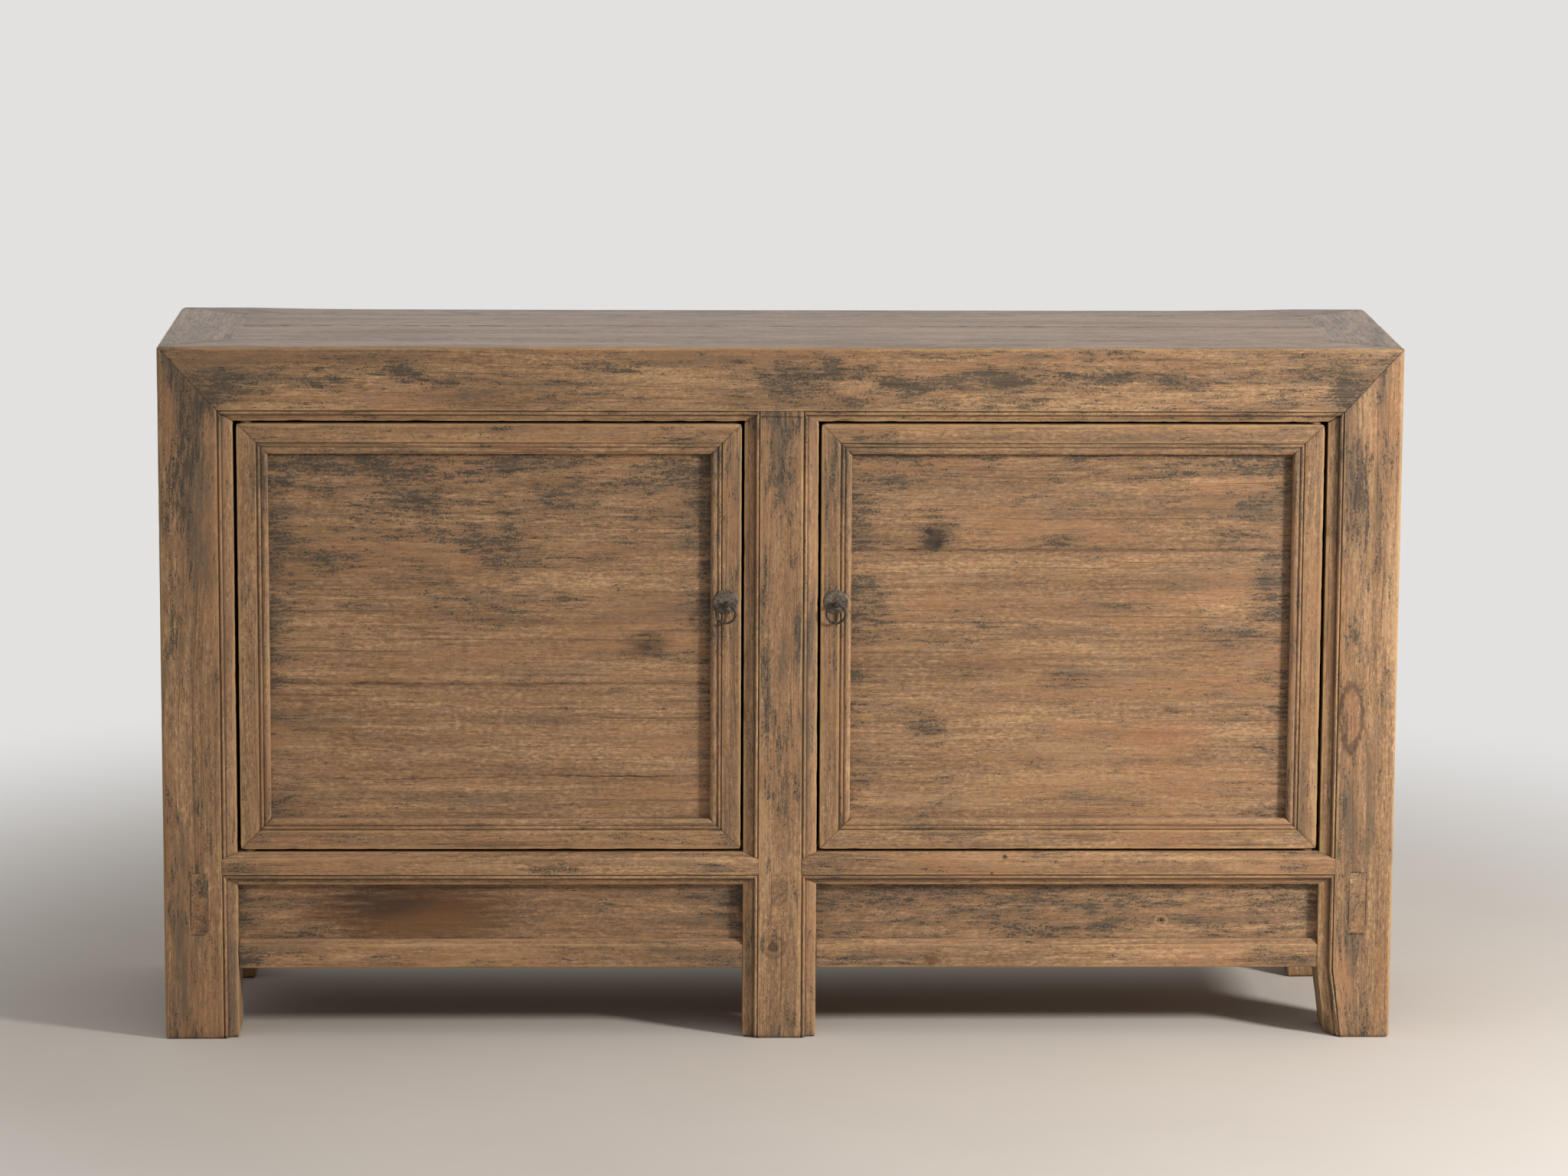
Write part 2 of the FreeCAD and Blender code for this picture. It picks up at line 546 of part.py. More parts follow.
# Top boards, flush with the frame, tongued into it and carried by battens
top_boards = []
tongue_top = TOP - (TOP_BOARD_THICKNESS - TOP_TONGUE_THICKNESS) / 2
tongue_z = (tongue_top - TOP_TONGUE_THICKNESS, tongue_top)
board_z = (TOP - TOP_BOARD_THICKNESS, TOP)
frame_x = (POST_INNER + BOARD_GAP, -POST_INNER - BOARD_GAP)
tongue_x = (POST_INNER - TONGUE_DEPTH, TONGUE_DEPTH - POST_INNER)
seam = FRONT + TOP_SEAM_FROM_FRONT
front_y = (POST_REAR + BOARD_GAP, seam)
rear_y = (seam + BOARD_GAP, -POST_REAR - BOARD_GAP)
front_tongue_y = (POST_REAR - TONGUE_DEPTH, seam)
rear_tongue_y = (seam + BOARD_GAP, TONGUE_DEPTH - POST_REAR)
for board_y, tongue_y in ((front_y, front_tongue_y), (rear_y, rear_tongue_y)):
    top_boards.append(joined(box(frame_x, board_y, board_z), box(tongue_x, tongue_y, tongue_z)))
top_groove = groove_for(box(tongue_x, (front_tongue_y[0], rear_tongue_y[1]), tongue_z), 2)
batten_x = (-TOP_BATTEN_OFFSET - TOP_BATTEN_WIDTH, -TOP_BATTEN_OFFSET)
batten_z = (board_z[0] - TOP_BATTEN_HEIGHT, board_z[0])
top_batten = box(batten_x, (POST_REAR, -POST_REAR), batten_z)
batten_tenon = box(
    (batten_x[0] + TENON_SHOULDER, batten_x[1] - TENON_SHOULDER),
    (POST_REAR - TENON_SHOULDER, TENON_SHOULDER - POST_REAR),
    (batten_z[0] + TENON_SHOULDER, batten_z[1] - TENON_SHOULDER),
)
batten_mortise = grown(batten_tenon, JOINT_CLEARANCE)
top_batten = joined(top_batten, batten_tenon)
front_rail = front_rail.cut([top_groove, batten_mortise, mirrored(batten_mortise)])
rear_rail = rear_rail.cut([top_groove, batten_mortise, mirrored(batten_mortise)])
left_rail = left_rail.cut(top_groove)


# Doors
def door_waste(start, along, run):
    """Two beads on the inner edge of a door's frame, the second rolling down towards the panel."""
    second = DOOR_FLAT_WIDTH + DOOR_BEAD_WIDTH
    crest = DOOR_FLAT_WIDTH + (QUIRK_WIDTH + DOOR_BEAD_WIDTH) / 2
    roll = (second + DOOR_FRAME_WIDTH) / 2
    points = [
        (DOOR_FLAT_WIDTH, 0),
        (DOOR_FLAT_WIDTH + QUIRK_WIDTH, QUIRK_DEPTH),
        ((crest, 0), (second, QUIRK_DEPTH)),
        ((roll, DOOR_ROLL_DROP), (DOOR_FRAME_WIDTH, DOOR_EDGE_DROP)),
        (DOOR_FRAME_WIDTH + DOOR_EDGE_DROP, DOOR_EDGE_DROP),
        (DOOR_FRAME_WIDTH + DOOR_EDGE_DROP, -DOOR_EDGE_DROP),
        (DOOR_FLAT_WIDTH, -DOOR_EDGE_DROP),
    ]
    return edge_waste(points, start, along, Y_AXIS, run)


def hinge_edge_waste():
    """What rounding takes off the hinge edge, so that it turns between the post and the floor's lip."""
    front = HINGE_FRONT_ROUND
    back = DOOR_THICKNESS / 2
    corner = 1 - math.cos(math.pi / 4)
    depth = DOOR_THICKNESS
    section = [
        (DOOR_THICKNESS, 0),
        (DOOR_THICKNESS, depth),
        (back, depth),
        ((corner * back, depth - corner * back), (0, depth - back)),
        (0, front),
        ((corner * front, corner * front), (front, 0)),
    ]
    face = outline(section, lambda u, v: Vector(DOOR_LEFT + u, DOOR_FRONT + v, DOOR_BOTTOM))
    kept = face.extrude(Z_AXIS * (DOOR_TOP - DOOR_BOTTOM))
    strip = box((DOOR_LEFT, DOOR_LEFT + DOOR_THICKNESS), (DOOR_FRONT, DOOR_BACK), (DOOR_BOTTOM, DOOR_TOP))
    return strip.cut(kept)


def left_door(seam_height):
    """All wooden pieces of the left door, by name."""
    width = DOOR_FRAME_WIDTH
    outer = [
        (DOOR_LEFT, DOOR_BOTTOM),
        (DOOR_RIGHT, DOOR_BOTTOM),
        (DOOR_RIGHT, DOOR_TOP),
        (DOOR_LEFT, DOOR_TOP),
    ]
    inner = [
        (DOOR_LEFT + width, DOOR_BOTTOM + width),
        (DOOR_RIGHT - width, DOOR_BOTTOM + width),
        (DOOR_RIGHT - width, DOOR_TOP - width),
        (DOOR_LEFT + width, DOOR_TOP - width),
    ]
    names = ["bottom_rail", "latch_stile", "top_rail", "hinge_stile"]
    inward = [Z_AXIS, -X_AXIS, -Z_AXIS, X_AXIS]
    slab = box((DOOR_LEFT, DOOR_RIGHT), (DOOR_FRONT, DOOR_BACK), (DOOR_BOTTOM, DOOR_TOP))
    pieces = {}
    for side, name in enumerate(names):
        after = (side + 1) % 4
        piece = slab.common(front_prism([outer[side], outer[after], inner[after], inner[side]]))
        start = Vector(outer[side][0], DOOR_FRONT, outer[side][1])
        run = Vector(outer[after][0], DOOR_FRONT, outer[after][1]) - start
        pieces[name] = piece.cut(door_waste(start, inward[side], run))

    panel = box(
        (inner[0][0] - TONGUE_DEPTH, inner[1][0] + TONGUE_DEPTH),
        (DOOR_FRONT + PANEL_RECESS, DOOR_FRONT + PANEL_RECESS + PANEL_THICKNESS),
        (DOOR_PANEL_BOTTOM, DOOR_PANEL_TOP),
    )
    groove = groove_for(panel, 1)
    p = panel.BoundBox
    pieces["lower_board"] = box((p.XMin, p.XMax), (p.YMin, p.YMax), (p.ZMin, seam_height))
    pieces["upper_board"] = box((p.XMin, p.XMax), (p.YMin, p.YMax), (seam_height + BOARD_GAP, p.ZMax))

    middle = (DOOR_LEFT + DOOR_RIGHT) / 2
    batten_x = (middle - DOOR_BATTEN_WIDTH / 2, middle + DOOR_BATTEN_WIDTH / 2)
    batten = box(batten_x, (p.YMax, DOOR_BACK), (inner[0][1], inner[2][1]))
    batten_tenon = box(
        batten_x,
        (p.YMax + DOOR_TENON_WALL, DOOR_BACK - DOOR_TENON_WALL),
        (inner[0][1] - TENON_SHOULDER, inner[2][1] + TENON_SHOULDER),
    )
    batten_mortise = grown(batten_tenon, JOINT_CLEARANCE)
    pieces["batten"] = joined(batten, batten_tenon)

    tenon_y = (p.YMax + DOOR_TENON_WALL, DOOR_BACK - DOOR_TENON_WALL)
    tenon_x = (inner[0][0] - DOOR_TENON_LENGTH, inner[1][0] + DOOR_TENON_LENGTH)
    tenon_inset = (TENON_SHOULDER, width - TENON_SHOULDER)
    tenons = {
        "bottom_rail": box(tenon_x, tenon_y, [DOOR_BOTTOM + inset for inset in tenon_inset]),
        "top_rail": box(tenon_x, tenon_y, sorted(DOOR_TOP - inset for inset in tenon_inset)),
    }
    waste = hinge_edge_waste()
    pivot = Part.makeCylinder(
        PIVOT_RADIUS,
        DOOR_TOP - DOOR_BOTTOM + 2 * DOOR_GAP + PIVOT_UPPER_LENGTH + PIVOT_LOWER_LENGTH,
        Vector(HINGE_X, HINGE_Y, DOOR_BOTTOM - DOOR_GAP - PIVOT_LOWER_LENGTH),
    )
    pivot_bore = Part.makeCylinder(
        PIVOT_RADIUS + JOINT_CLEARANCE, CASE_HEIGHT, Vector(HINGE_X, HINGE_Y, 0)
    )
    for name in ("bottom_rail", "top_rail"):
        rail = pieces[name].cut([groove, waste, batten_mortise])
        pieces[name] = joined(rail, tenons[name].common(slab)).cut(pivot_bore)
    mortises = [grown(tenon, JOINT_CLEARANCE) for tenon in tenons.values()]
    pieces["hinge_stile"] = joined(pieces["hinge_stile"].cut([groove, waste] + mortises), pivot)
    pieces["latch_stile"] = pieces["latch_stile"].cut([groove] + mortises)
    return pieces


upper_socket = Part.makeCylinder(
    PIVOT_RADIUS + RUNNING_CLEARANCE, PIVOT_UPPER_SOCKET, Vector(HINGE_X, HINGE_Y, OPENING_TOP)
)
lower_socket_depth = PIVOT_LOWER_LENGTH + RUNNING_CLEARANCE
lower_socket = Part.makeCylinder(
    PIVOT_RADIUS + RUNNING_CLEARANCE,
    lower_socket_depth,
    Vector(HINGE_X, HINGE_Y, LOWER_RAIL_TOP - lower_socket_depth),
)
front_rail = front_rail.cut([upper_socket, mirrored(upper_socket)])
front_lower_rail = front_lower_rail.cut(lower_socket)


# Ring pull: a domed plate, a split pin with an eye, and a ring hanging in the eye
def pull_plate():
    section = [
        (0, 0),
        (PLATE_RADIUS, 0),
        (PLATE_RADIUS, PLATE_RIM),
        (PLATE_DOME_RADIUS, PLATE_DOME),
        (0, PLATE_DOME),
    ]
    face = outline(section, lambda r, d: Vector(PULL_X + r, DOOR_FRONT - d, PULL_HEIGHT))
    return face.revolve(Vector(PULL_X, 0, PULL_HEIGHT), Y_AXIS, 360)


def pull_shank(clearance):
    """The two legs of the split pin, through the plate and the stile."""
    half_width = EYE_WIDTH / 2 + clearance
    half_height = SHANK_HEIGHT / 2 + clearance
    return box(
        (PULL_X - half_width, PULL_X + half_width),
        (EYE_Y, DOOR_BACK + CLINCH_THICKNESS),
        (EYE_Z - half_height, EYE_Z + half_height),
    )


def pull_pin():
    eye_start = Vector(PULL_X - EYE_WIDTH / 2, EYE_Y, EYE_Z)
    eye = Part.makeCylinder(EYE_RADIUS, EYE_WIDTH, eye_start, X_AXIS)
    hole = Part.makeCylinder(EYE_HOLE_RADIUS, EYE_WIDTH, eye_start, X_AXIS)
    clinch = box(
        (PULL_X - CLINCH_LENGTH, PULL_X + CLINCH_LENGTH),
        (DOOR_BACK, DOOR_BACK + CLINCH_THICKNESS),
        (EYE_Z - SHANK_HEIGHT / 2, EYE_Z + SHANK_HEIGHT / 2),
    )
    return joined(eye, pull_shank(0), clinch).cut(hole)


def pull_ring():
    centre = Vector(PULL_X, EYE_Y, EYE_Z - RING_RADIUS)
    return Part.makeTorus(RING_RADIUS, RING_WIRE_RADIUS, centre, Y_AXIS)


foot_taper = front_prism([
    (-POST_INNER, APRON_RAIL_BOTTOM),
    (-POST_INNER, 0),
    (-POST_INNER + FOOT_TAPER_WIDTH, 0),
])

parts["front_left_post"] = front_post
parts["front_right_post"] = mirrored(front_post).cut(foot_taper)
parts["front_centre_post"] = centre_post
parts["rear_left_post"] = rear_post
parts["rear_right_post"] = mirrored(rear_post)
parts["rear_centre_stile"] = rear_stile
parts["front_top_rail"] = front_rail
parts["rear_top_rail"] = rear_rail
parts["left_top_rail"] = left_rail
parts["right_top_rail"] = mirrored(left_rail)
parts["top_board_front"], parts["top_board_rear"] = top_boards
parts["rear_lower_rail"] = rear_lower_rail
parts["floor_bearer"] = bearer
for board_name, board in zip(("front", "middle", "rear"), floor_boards):
    parts["floor_board_" + board_name] = board
both_sides = {
    "top_batten_{}": top_batten,
    "front_lower_rail_{}": front_lower_rail,
    "{}_lower_rail": side_rail,
    "front_apron_panel_{}": apron_panel,
    "front_apron_rail_{}": apron_rail,
    "{}_side_panel": side_panel,
    "back_board_{}_upper": back_upper,
    "back_board_{}_lower": back_lower,
    "{}_pull_pin": pull_pin(),
    "{}_pull_plate": pull_plate().cut(pull_shank(JOINT_CLEARANCE)),
    "{}_pull_ring": pull_ring(),
}
for name, shape in both_sides.items():
    parts[name.format("left")] = shape
    parts[name.format("right")] = mirrored(shape)
for side, seam_height in (("left", LEFT_DOOR_SEAM), ("right", RIGHT_DOOR_SEAM)):
    for name, shape in left_door(seam_height).items():
        if name == "latch_stile":
            shape = shape.cut(pull_shank(JOINT_CLEARANCE))
        parts[side + "_door_" + name] = shape if side == "left" else mirrored(shape)

os.makedirs("parts", exist_ok=True)
for name, shape in parts.items():
    if not shape.isValid() or len(shape.Solids) != 1:
        raise ValueError(name + " is not one valid solid")
    shape.Solids[0].exportStep("parts/" + name + ".step")
print(len(parts), "pieces")
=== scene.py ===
import json
import math
import random

import bpy
import numpy as np
from mathutils import Matrix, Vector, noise

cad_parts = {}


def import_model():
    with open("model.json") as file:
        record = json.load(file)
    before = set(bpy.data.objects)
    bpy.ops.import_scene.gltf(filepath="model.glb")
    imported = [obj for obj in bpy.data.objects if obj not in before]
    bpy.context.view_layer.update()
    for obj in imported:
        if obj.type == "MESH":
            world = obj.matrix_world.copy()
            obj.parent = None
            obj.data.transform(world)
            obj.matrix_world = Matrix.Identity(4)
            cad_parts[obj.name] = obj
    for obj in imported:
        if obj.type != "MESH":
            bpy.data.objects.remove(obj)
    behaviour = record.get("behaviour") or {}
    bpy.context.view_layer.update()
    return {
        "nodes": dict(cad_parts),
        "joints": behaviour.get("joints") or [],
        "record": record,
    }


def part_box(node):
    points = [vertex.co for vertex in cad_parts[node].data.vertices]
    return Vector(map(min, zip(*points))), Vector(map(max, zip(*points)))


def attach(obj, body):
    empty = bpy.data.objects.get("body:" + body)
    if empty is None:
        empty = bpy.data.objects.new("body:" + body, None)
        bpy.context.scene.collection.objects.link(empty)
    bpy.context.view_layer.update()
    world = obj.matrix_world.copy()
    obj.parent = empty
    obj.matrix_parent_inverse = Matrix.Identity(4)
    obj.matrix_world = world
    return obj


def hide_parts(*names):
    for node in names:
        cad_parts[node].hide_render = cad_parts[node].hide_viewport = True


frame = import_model()

# A low sideboard of old, dry, worn wood, in metres: X along the front, Y to the back, Z up.

# Places, from the frame
post_low, post_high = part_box("front_left_post")
LEFT, FRONT, FLOOR = post_low
POST_INNER, POST_REAR, TOP = post_high
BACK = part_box("rear_left_post")[1].y
POST_WIDTH = POST_INNER - LEFT
POST_DEPTH = POST_REAR - FRONT
OPENING_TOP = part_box("front_top_rail")[0].z
RAIL_HEIGHT = TOP - OPENING_TOP
CENTRE_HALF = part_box("front_centre_post")[1].x
CENTRE_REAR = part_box("front_centre_post")[1].y
LOWER_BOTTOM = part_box("front_lower_rail_left")[0].z
LOWER_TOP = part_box("front_lower_rail_left")[1].z
LOWER_REAR = CENTRE_REAR
SIDE_RAIL_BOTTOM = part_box("left_lower_rail")[0].z
SIDE_RAIL_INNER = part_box("left_lower_rail")[1].x
APRON_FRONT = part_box("front_apron_rail_left")[0].y
APRON_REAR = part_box("front_apron_rail_left")[1].y
APRON_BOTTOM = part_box("front_apron_rail_left")[0].z
APRON_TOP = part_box("front_apron_rail_left")[1].z
latch_low, latch_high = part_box("left_door_latch_stile")
DOOR_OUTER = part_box("left_door_hinge_stile")[0].x
DOOR_INNER = latch_high.x
DOOR_FRONT, DOOR_REAR = latch_low.y, latch_high.y
DOOR_BOTTOM, DOOR_TOP = latch_low.z, latch_high.z
DOOR_MEMBER = latch_high.x - latch_low.x

# Mouldings and tenons, as in the frame, apart from a deeper step beside the beads
QUIRK_WIDTH = 0.0012
QUIRK_DEPTH = 0.0020
BEAD_WIDTH = 0.006
BEAD_STEP = 0.0055
RECESS = 0.009
POST_BAND = 0.0205
RAIL_BAND = 0.015
CHAMFER_HEIGHT = 0.008
DOOR_FLAT = 0.0245
DOOR_BEAD_END = 0.031
DOOR_ROLL_CREST = 0.0004
DOOR_ROLL_TOP = 0.7 / 1.7
DOOR_EDGE_DEPTH = 0.003
DOOR_CORNER = 0.005
APRON_BEVEL = 0.007
FOOT_TAPER = 0.012
TENON_WIDTH = 0.022
TENON_INSET = 0.035
TENON_LOW, TENON_HIGH = 0.141, 0.221
PIVOT_RADIUS = 0.008

# How the meshes are divided
AROUND = 0.006
ALONG = 0.006
FINE = 0.0015
ARC_STEP = math.radians(18)
BEAD_STEPS = 6
FINEST = 0.0005
PIVOT_SIDES = 24
END_SHARES = np.array([0.0, 0.1, 0.3, 0.6, 1.0])
SHARP_ANGLE = math.radians(50)
TINY = 1e-9
SLACK = 1e-6

# Places of the faces in the unit square: a sheet's sides, and a strip beside them for its two ends
SIDE_SHARE = np.array([0.975, 0.99])
CAP_SHARE = np.array([0.018, 0.48])
CAP_START = 0.98

# Rounding and wear
JOINT_ROUND = 0.0009
QUIRK_ROUND = 0.0005
SMALL_ROUND = 0.001
CHAMFER_ROUND = 0.0015
DOOR_ROUNDS = (0.002, 0.002)
HINGE_ROUNDS = (0.0012, 0.012)
MOST_OF_SIDE = 0.45
ARRIS = 0.0025
SOFT_ARRIS = 0.0045
TOP_ARRIS = 0.006
FOOT_ROUND = 0.0055
HEAD_ROUND = 0.003
EDGE_REACH = 0.008
SMALL_REACH = 0.0016
EDGE_SPAN = 1.3
EDGE_FALL = 1.4
BASE_WEAR = 0.0002
WAVE_DEPTH = 0.0003
WAVE_SIZE = 0.09
NICK_DEPTH = 0.0030
NICK_SIZE = 0.02
NICK_START = 0.12
CHIP_SIZE = 0.008
CHIP_START = 0.2
CHIP_SHARE = 0.5
DOOR_WEAR = 0.5
PIVOT_WEAR = 0.2
FORGE_SIZE = 0.006
FORGE_SEED_STEP = 7.3
FORGE_AXIS_STEP = 11.0

# Grain, seams and dirt
GRAIN_SHIFT = 50.0
GRAIN_SLOPE = 0.012
SEAM_ROUND = 0.0003
SEAM_OVERLAP = 0.0009
SEAM_DIRT = 0.6
JOINT_DIRT = 0.5
JOINT_DIRT_REACH = 0.03
JOINT_SHADE = 0.6
JOINT_SHADE_REACH = 0.0015
MOST_DIRT = 1.3
TENON_DIRT = 0.5
TENON_LINE = 0.0016
TENON_LINE_TALL = 1.2
TENON_LINE_WIDE = 0.7

SIDES = {"left": -1, "right": 1}


# Meshes

def unit(vectors):
    """The vectors at length 1."""
    return vectors / np.maximum(np.linalg.norm(vectors, axis=-1, keepdims=True), TINY)


def outline(corners, spacing):
    """A counter-clockwise outline through (a, b, radius) corners, with how near each point lies to an outer
    corner, and to a hollow corner where the finish paints shade.
    """
    spots = np.array([corner[:2] for corner in corners], float)
    radii = np.array([corner[2] if len(corner) > 2 else 0.0 for corner in corners])
    following = np.roll(spots, -1, axis=0)
    if np.sum(spots[:, 0] * following[:, 1] - spots[:, 1] * following[:, 0]) < 0:
        spots = spots[::-1]
        radii = radii[::-1]
    into = spots - np.roll(spots, 1, axis=0)
    away = np.roll(into, -1, axis=0)
    shorter = np.minimum(np.linalg.norm(into, axis=1), np.linalg.norm(away, axis=1))
    crossed = into[:, 0] * away[:, 1] - into[:, 1] * away[:, 0]
    turn = np.arctan2(crossed, np.sum(into * away, axis=1))
    reach = np.minimum(radii * np.tan(np.abs(turn) / 2), MOST_OF_SIDE * shorter)
    turned = []
    for spot, back, ahead, angle, length in zip(spots, unit(into), unit(away), turn, reach):
        if length < SLACK:
            turned.append(spot)
            continue
        steps = max(2, round(abs(angle) / ARC_STEP))
        for share in np.linspace(0, 1, steps + 1):
            turned.append(spot - back * length * (1 - share) ** 2 + ahead * length * share ** 2)
    points = []
    for near, far in zip(turned, turned[1:] + turned[:1]):
        steps = max(1, math.ceil(np.linalg.norm(far - near) / spacing - SLACK))
        points += [near + (far - near) * step / steps for step in range(steps)]
    points = np.array(points)
    distance = np.linalg.norm(points[:, None] - spots[None], axis=2)
    span = np.clip(EDGE_SPAN * shorter, SMALL_REACH, EDGE_REACH)
    closeness = np.clip(1 - distance / span, 0, 1) ** EDGE_FALL
    sharpness = np.clip(turn / (math.pi / 2), -1, 1)
    edge = np.max(closeness * np.maximum(sharpness, 0), axis=1)
    # Nearness to a hollow corner, where the finish paints shade in creases and quirks
    recess = np.max(closeness * np.maximum(-sharpness, 0), axis=1)
    return points, edge, recess


def outward(points):
    """Unit normals that point out of a counter-clockwise outline."""
    tangent = unit(np.roll(points, -1, axis=0) - points) + unit(points - np.roll(points, 1, axis=0))
    return unit(np.stack([tangent[:, 1], -tangent[:, 0]], axis=1))


def ripple(points, size, shift):
    """Smooth noise from about -1 to 1, with waves of this size, at an array of points."""
    flat = (points / size + shift).reshape(-1, 3)
    return np.array([noise.noise(spot) for spot in flat.tolist()]).reshape(points.shape[:-1])


def ring_places(length, start_round, end_round, fine_spans, first):
    """Distances from a stick's start to its rings, closer at rounded ends and over the fine spans."""
    near = start_round * END_SHARES
    far = length - end_round * END_SHARES[::-1]
    count = max(1, round((far[0] - near[-1]) / ALONG))
    middle = list(np.linspace(near[-1], far[0], count + 1)[1:-1])
    for low, high, step in fine_spans:
        extra = np.arange(low - first, high - first, step)
        middle += [place for place in extra if near[-1] < place < far[0]]
    middle = np.unique(np.round(middle, 5))
    return np.concatenate([near, middle, far])


class Sheet:
    """A grid of points round and along a piece, with what its finish needs to know at each of them."""

    def __init__(self, points, edge, recess, dirt, grain, closed=False, flipped=False):
        self.points = points
        self.edge = edge
        # Painted shade in hollow corners, with dark lines at joints and seams
        self.recess = recess
        self.dirt = dirt
        self.grain = grain
        self.closed = closed
        self.flipped = flipped


def end_distance(places, total, start_round, end_round):
    """How far a rounded end draws each ring in."""
    drawn = np.zeros_like(places)
    for distance, radius in ((places, start_round), (total - places, end_round)):
        inside = distance < radius
        rest = radius - distance[inside]
        drawn[inside] = radius - np.sqrt(np.maximum(radius ** 2 - rest ** 2, 0))
    return drawn


def run_places(places, total, first, last, rounds, fine):
    """Where the points of each ring lie along a stick whose ends differ from point to point.

    The rings spread evenly from end to end, or keep to fixed levels between the ends if they are fine.
    """
    after = places[:, None]
    low, high = first + rounds[0], last - rounds[1]
    if fine:
        level = first.min() + after
        bottom, top = low.max(), high.min()
        below = (level - bottom) / min(low.min() - bottom, -TINY)
        above = (level - top) / max(high.max() - top, TINY)
        middle = np.where(level > top, top + above * (high - top), level)
        middle = np.where(level < bottom, bottom + below * (low - bottom), middle)
    else:
        share = np.clip((after - rounds[0]) / max(total - rounds[0] - rounds[1], TINY), 0, 1)
        middle = low * (1 - share) + high * share
    middle = np.where(after >= total - rounds[1], last - (total - after), middle)
    return np.where(after <= rounds[0], first + after, middle)


def stick(node, run, corners, start, end, rounds=(JOINT_ROUND, JOINT_ROUND), soil=None, reshape=None,
          fine_spans=(), wear=1.0, spacing=AROUND):
    """A worn straight member along axis `run`: an outline in the other two axes, between two ends.

    Each end is a number or a function of the outline's points, for mitres and lapped shoulders.
    """
    dice = random.Random(node)
    shift = np.array([dice.uniform(-GRAIN_SHIFT, GRAIN_SHIFT) for _ in range(3)])
    slope = dice.uniform(-GRAIN_SLOPE, GRAIN_SLOPE)
    points, edge, recess = outline(corners, spacing)
    first = start(points) if callable(start) else np.full(len(points), start)
    last = end(points) if callable(end) else np.full(len(points), end)
    total = float(last.max()) - float(first.min())
    places = ring_places(total, *rounds, fine_spans, float(first.min()))
    run_at = run_places(places, total, first, last, rounds, fine_spans)
    others = [axis for axis in range(3) if axis != run]
    grid = np.zeros((*run_at.shape, 3))
    grid[:, :, run] = run_at
    grid[:, :, others] = points
    wave = ripple(grid, WAVE_SIZE, shift) * 0.5 + 0.5
    nick = np.maximum(ripple(grid, NICK_SIZE, shift) - NICK_START, 0)
    nick = nick + CHIP_SHARE * np.maximum(ripple(grid, CHIP_SIZE, shift) - CHIP_START, 0)
    inward = end_distance(places, total, *rounds)[:, None] + BASE_WEAR
    inward = inward + wear * (WAVE_DEPTH * wave + NICK_DEPTH * nick * edge ** 2)
    grid[:, :, others] -= outward(points) * inward[:, :, None]
    to_end = np.maximum(np.minimum(run_at - first, last - run_at), 0)
    dirt = JOINT_DIRT * np.exp(-to_end / JOINT_DIRT_REACH)
    if soil:
        dirt = np.minimum(dirt + soil(grid), MOST_DIRT)
    grain = grid[:, :, [run, *others]]
    grain[:, :, 1] += slope * grain[:, :, 0]
    grain = grain + shift
    if reshape:
        grid = reshape(grid)
    edge = np.repeat(edge[None], len(places), axis=0)
    # Painted shade in hollow corners, with dark lines added at the joints at the sticks' ends
    recess = np.maximum(recess, JOINT_SHADE * np.exp(-to_end / JOINT_SHADE_REACH))
    return Sheet(grid, edge, recess, dirt, grain, flipped=run == 1)


def round_outline(first, second, radius, count):
    """Evenly spaced points round a circle."""
    turns = np.linspace(0, 2 * math.pi, count, endpoint=False)
    return [(first + radius * math.cos(turn), second + radius * math.sin(turn)) for turn in turns]


def ring_sheet(profile, centre, axis, segments, unevenness, seed):
    """A closed profile of (radius, height) points turned round an axis, a little uneven."""
    profile = np.array(profile, float)
    others = [other for other in range(3) if other != axis]
    turns = np.linspace(0, 2 * math.pi, segments, endpoint=False)
    grid = np.zeros((segments, len(profile), 3))
    grid[:, :, axis] = profile[None, :, 1]
    grid[:, :, others[0]] = profile[None, :, 0] * np.cos(turns)[:, None]
    grid[:, :, others[1]] = profile[None, :, 0] * np.sin(turns)[:, None]
    shift = np.full(3, FORGE_SEED_STEP * seed)
    moves = [ripple(grid, FORGE_SIZE, shift + FORGE_AXIS_STEP * step) for step in range(3)]
    grid = grid + unevenness * np.stack(moves, axis=2) + np.array(centre)
    plain = np.zeros(grid.shape[:2])
    return Sheet(grid, plain, plain, plain, grid, closed=True)


def sheet_faces(sheet, base):
    """Faces of a sheet, with their corners' places in the unit square."""
    rings, count = sheet.points.shape[:2]
    index = base + np.arange(rings * count).reshape(rings, count)
    wrapped = np.concatenate([index, index[:, :1]], axis=1)
    up = np.linspace(0, 1, count + 1)
    along = np.linspace(0, 1, rings + 1 if sheet.closed else rings)
    if sheet.closed:
        wrapped = np.concatenate([wrapped, wrapped[:1]], axis=0)
    quads = np.stack([wrapped[:-1, :-1], wrapped[:-1, 1:], wrapped[1:, 1:], wrapped[1:, :-1]], axis=2)
    across, upward = np.meshgrid(along, up, indexing="ij")
    square = np.stack([across, upward], axis=2)
    places = np.stack([square[:-1, :-1], square[:-1, 1:], square[1:, 1:], square[1:, :-1]], axis=2)
    faces = quads.reshape(-1, 4)
    places = places.reshape(-1, 4, 2) * SIDE_SHARE
    if sheet.flipped:
        faces = faces[:, ::-1]
        places = places[:, ::-1]
    return faces, places


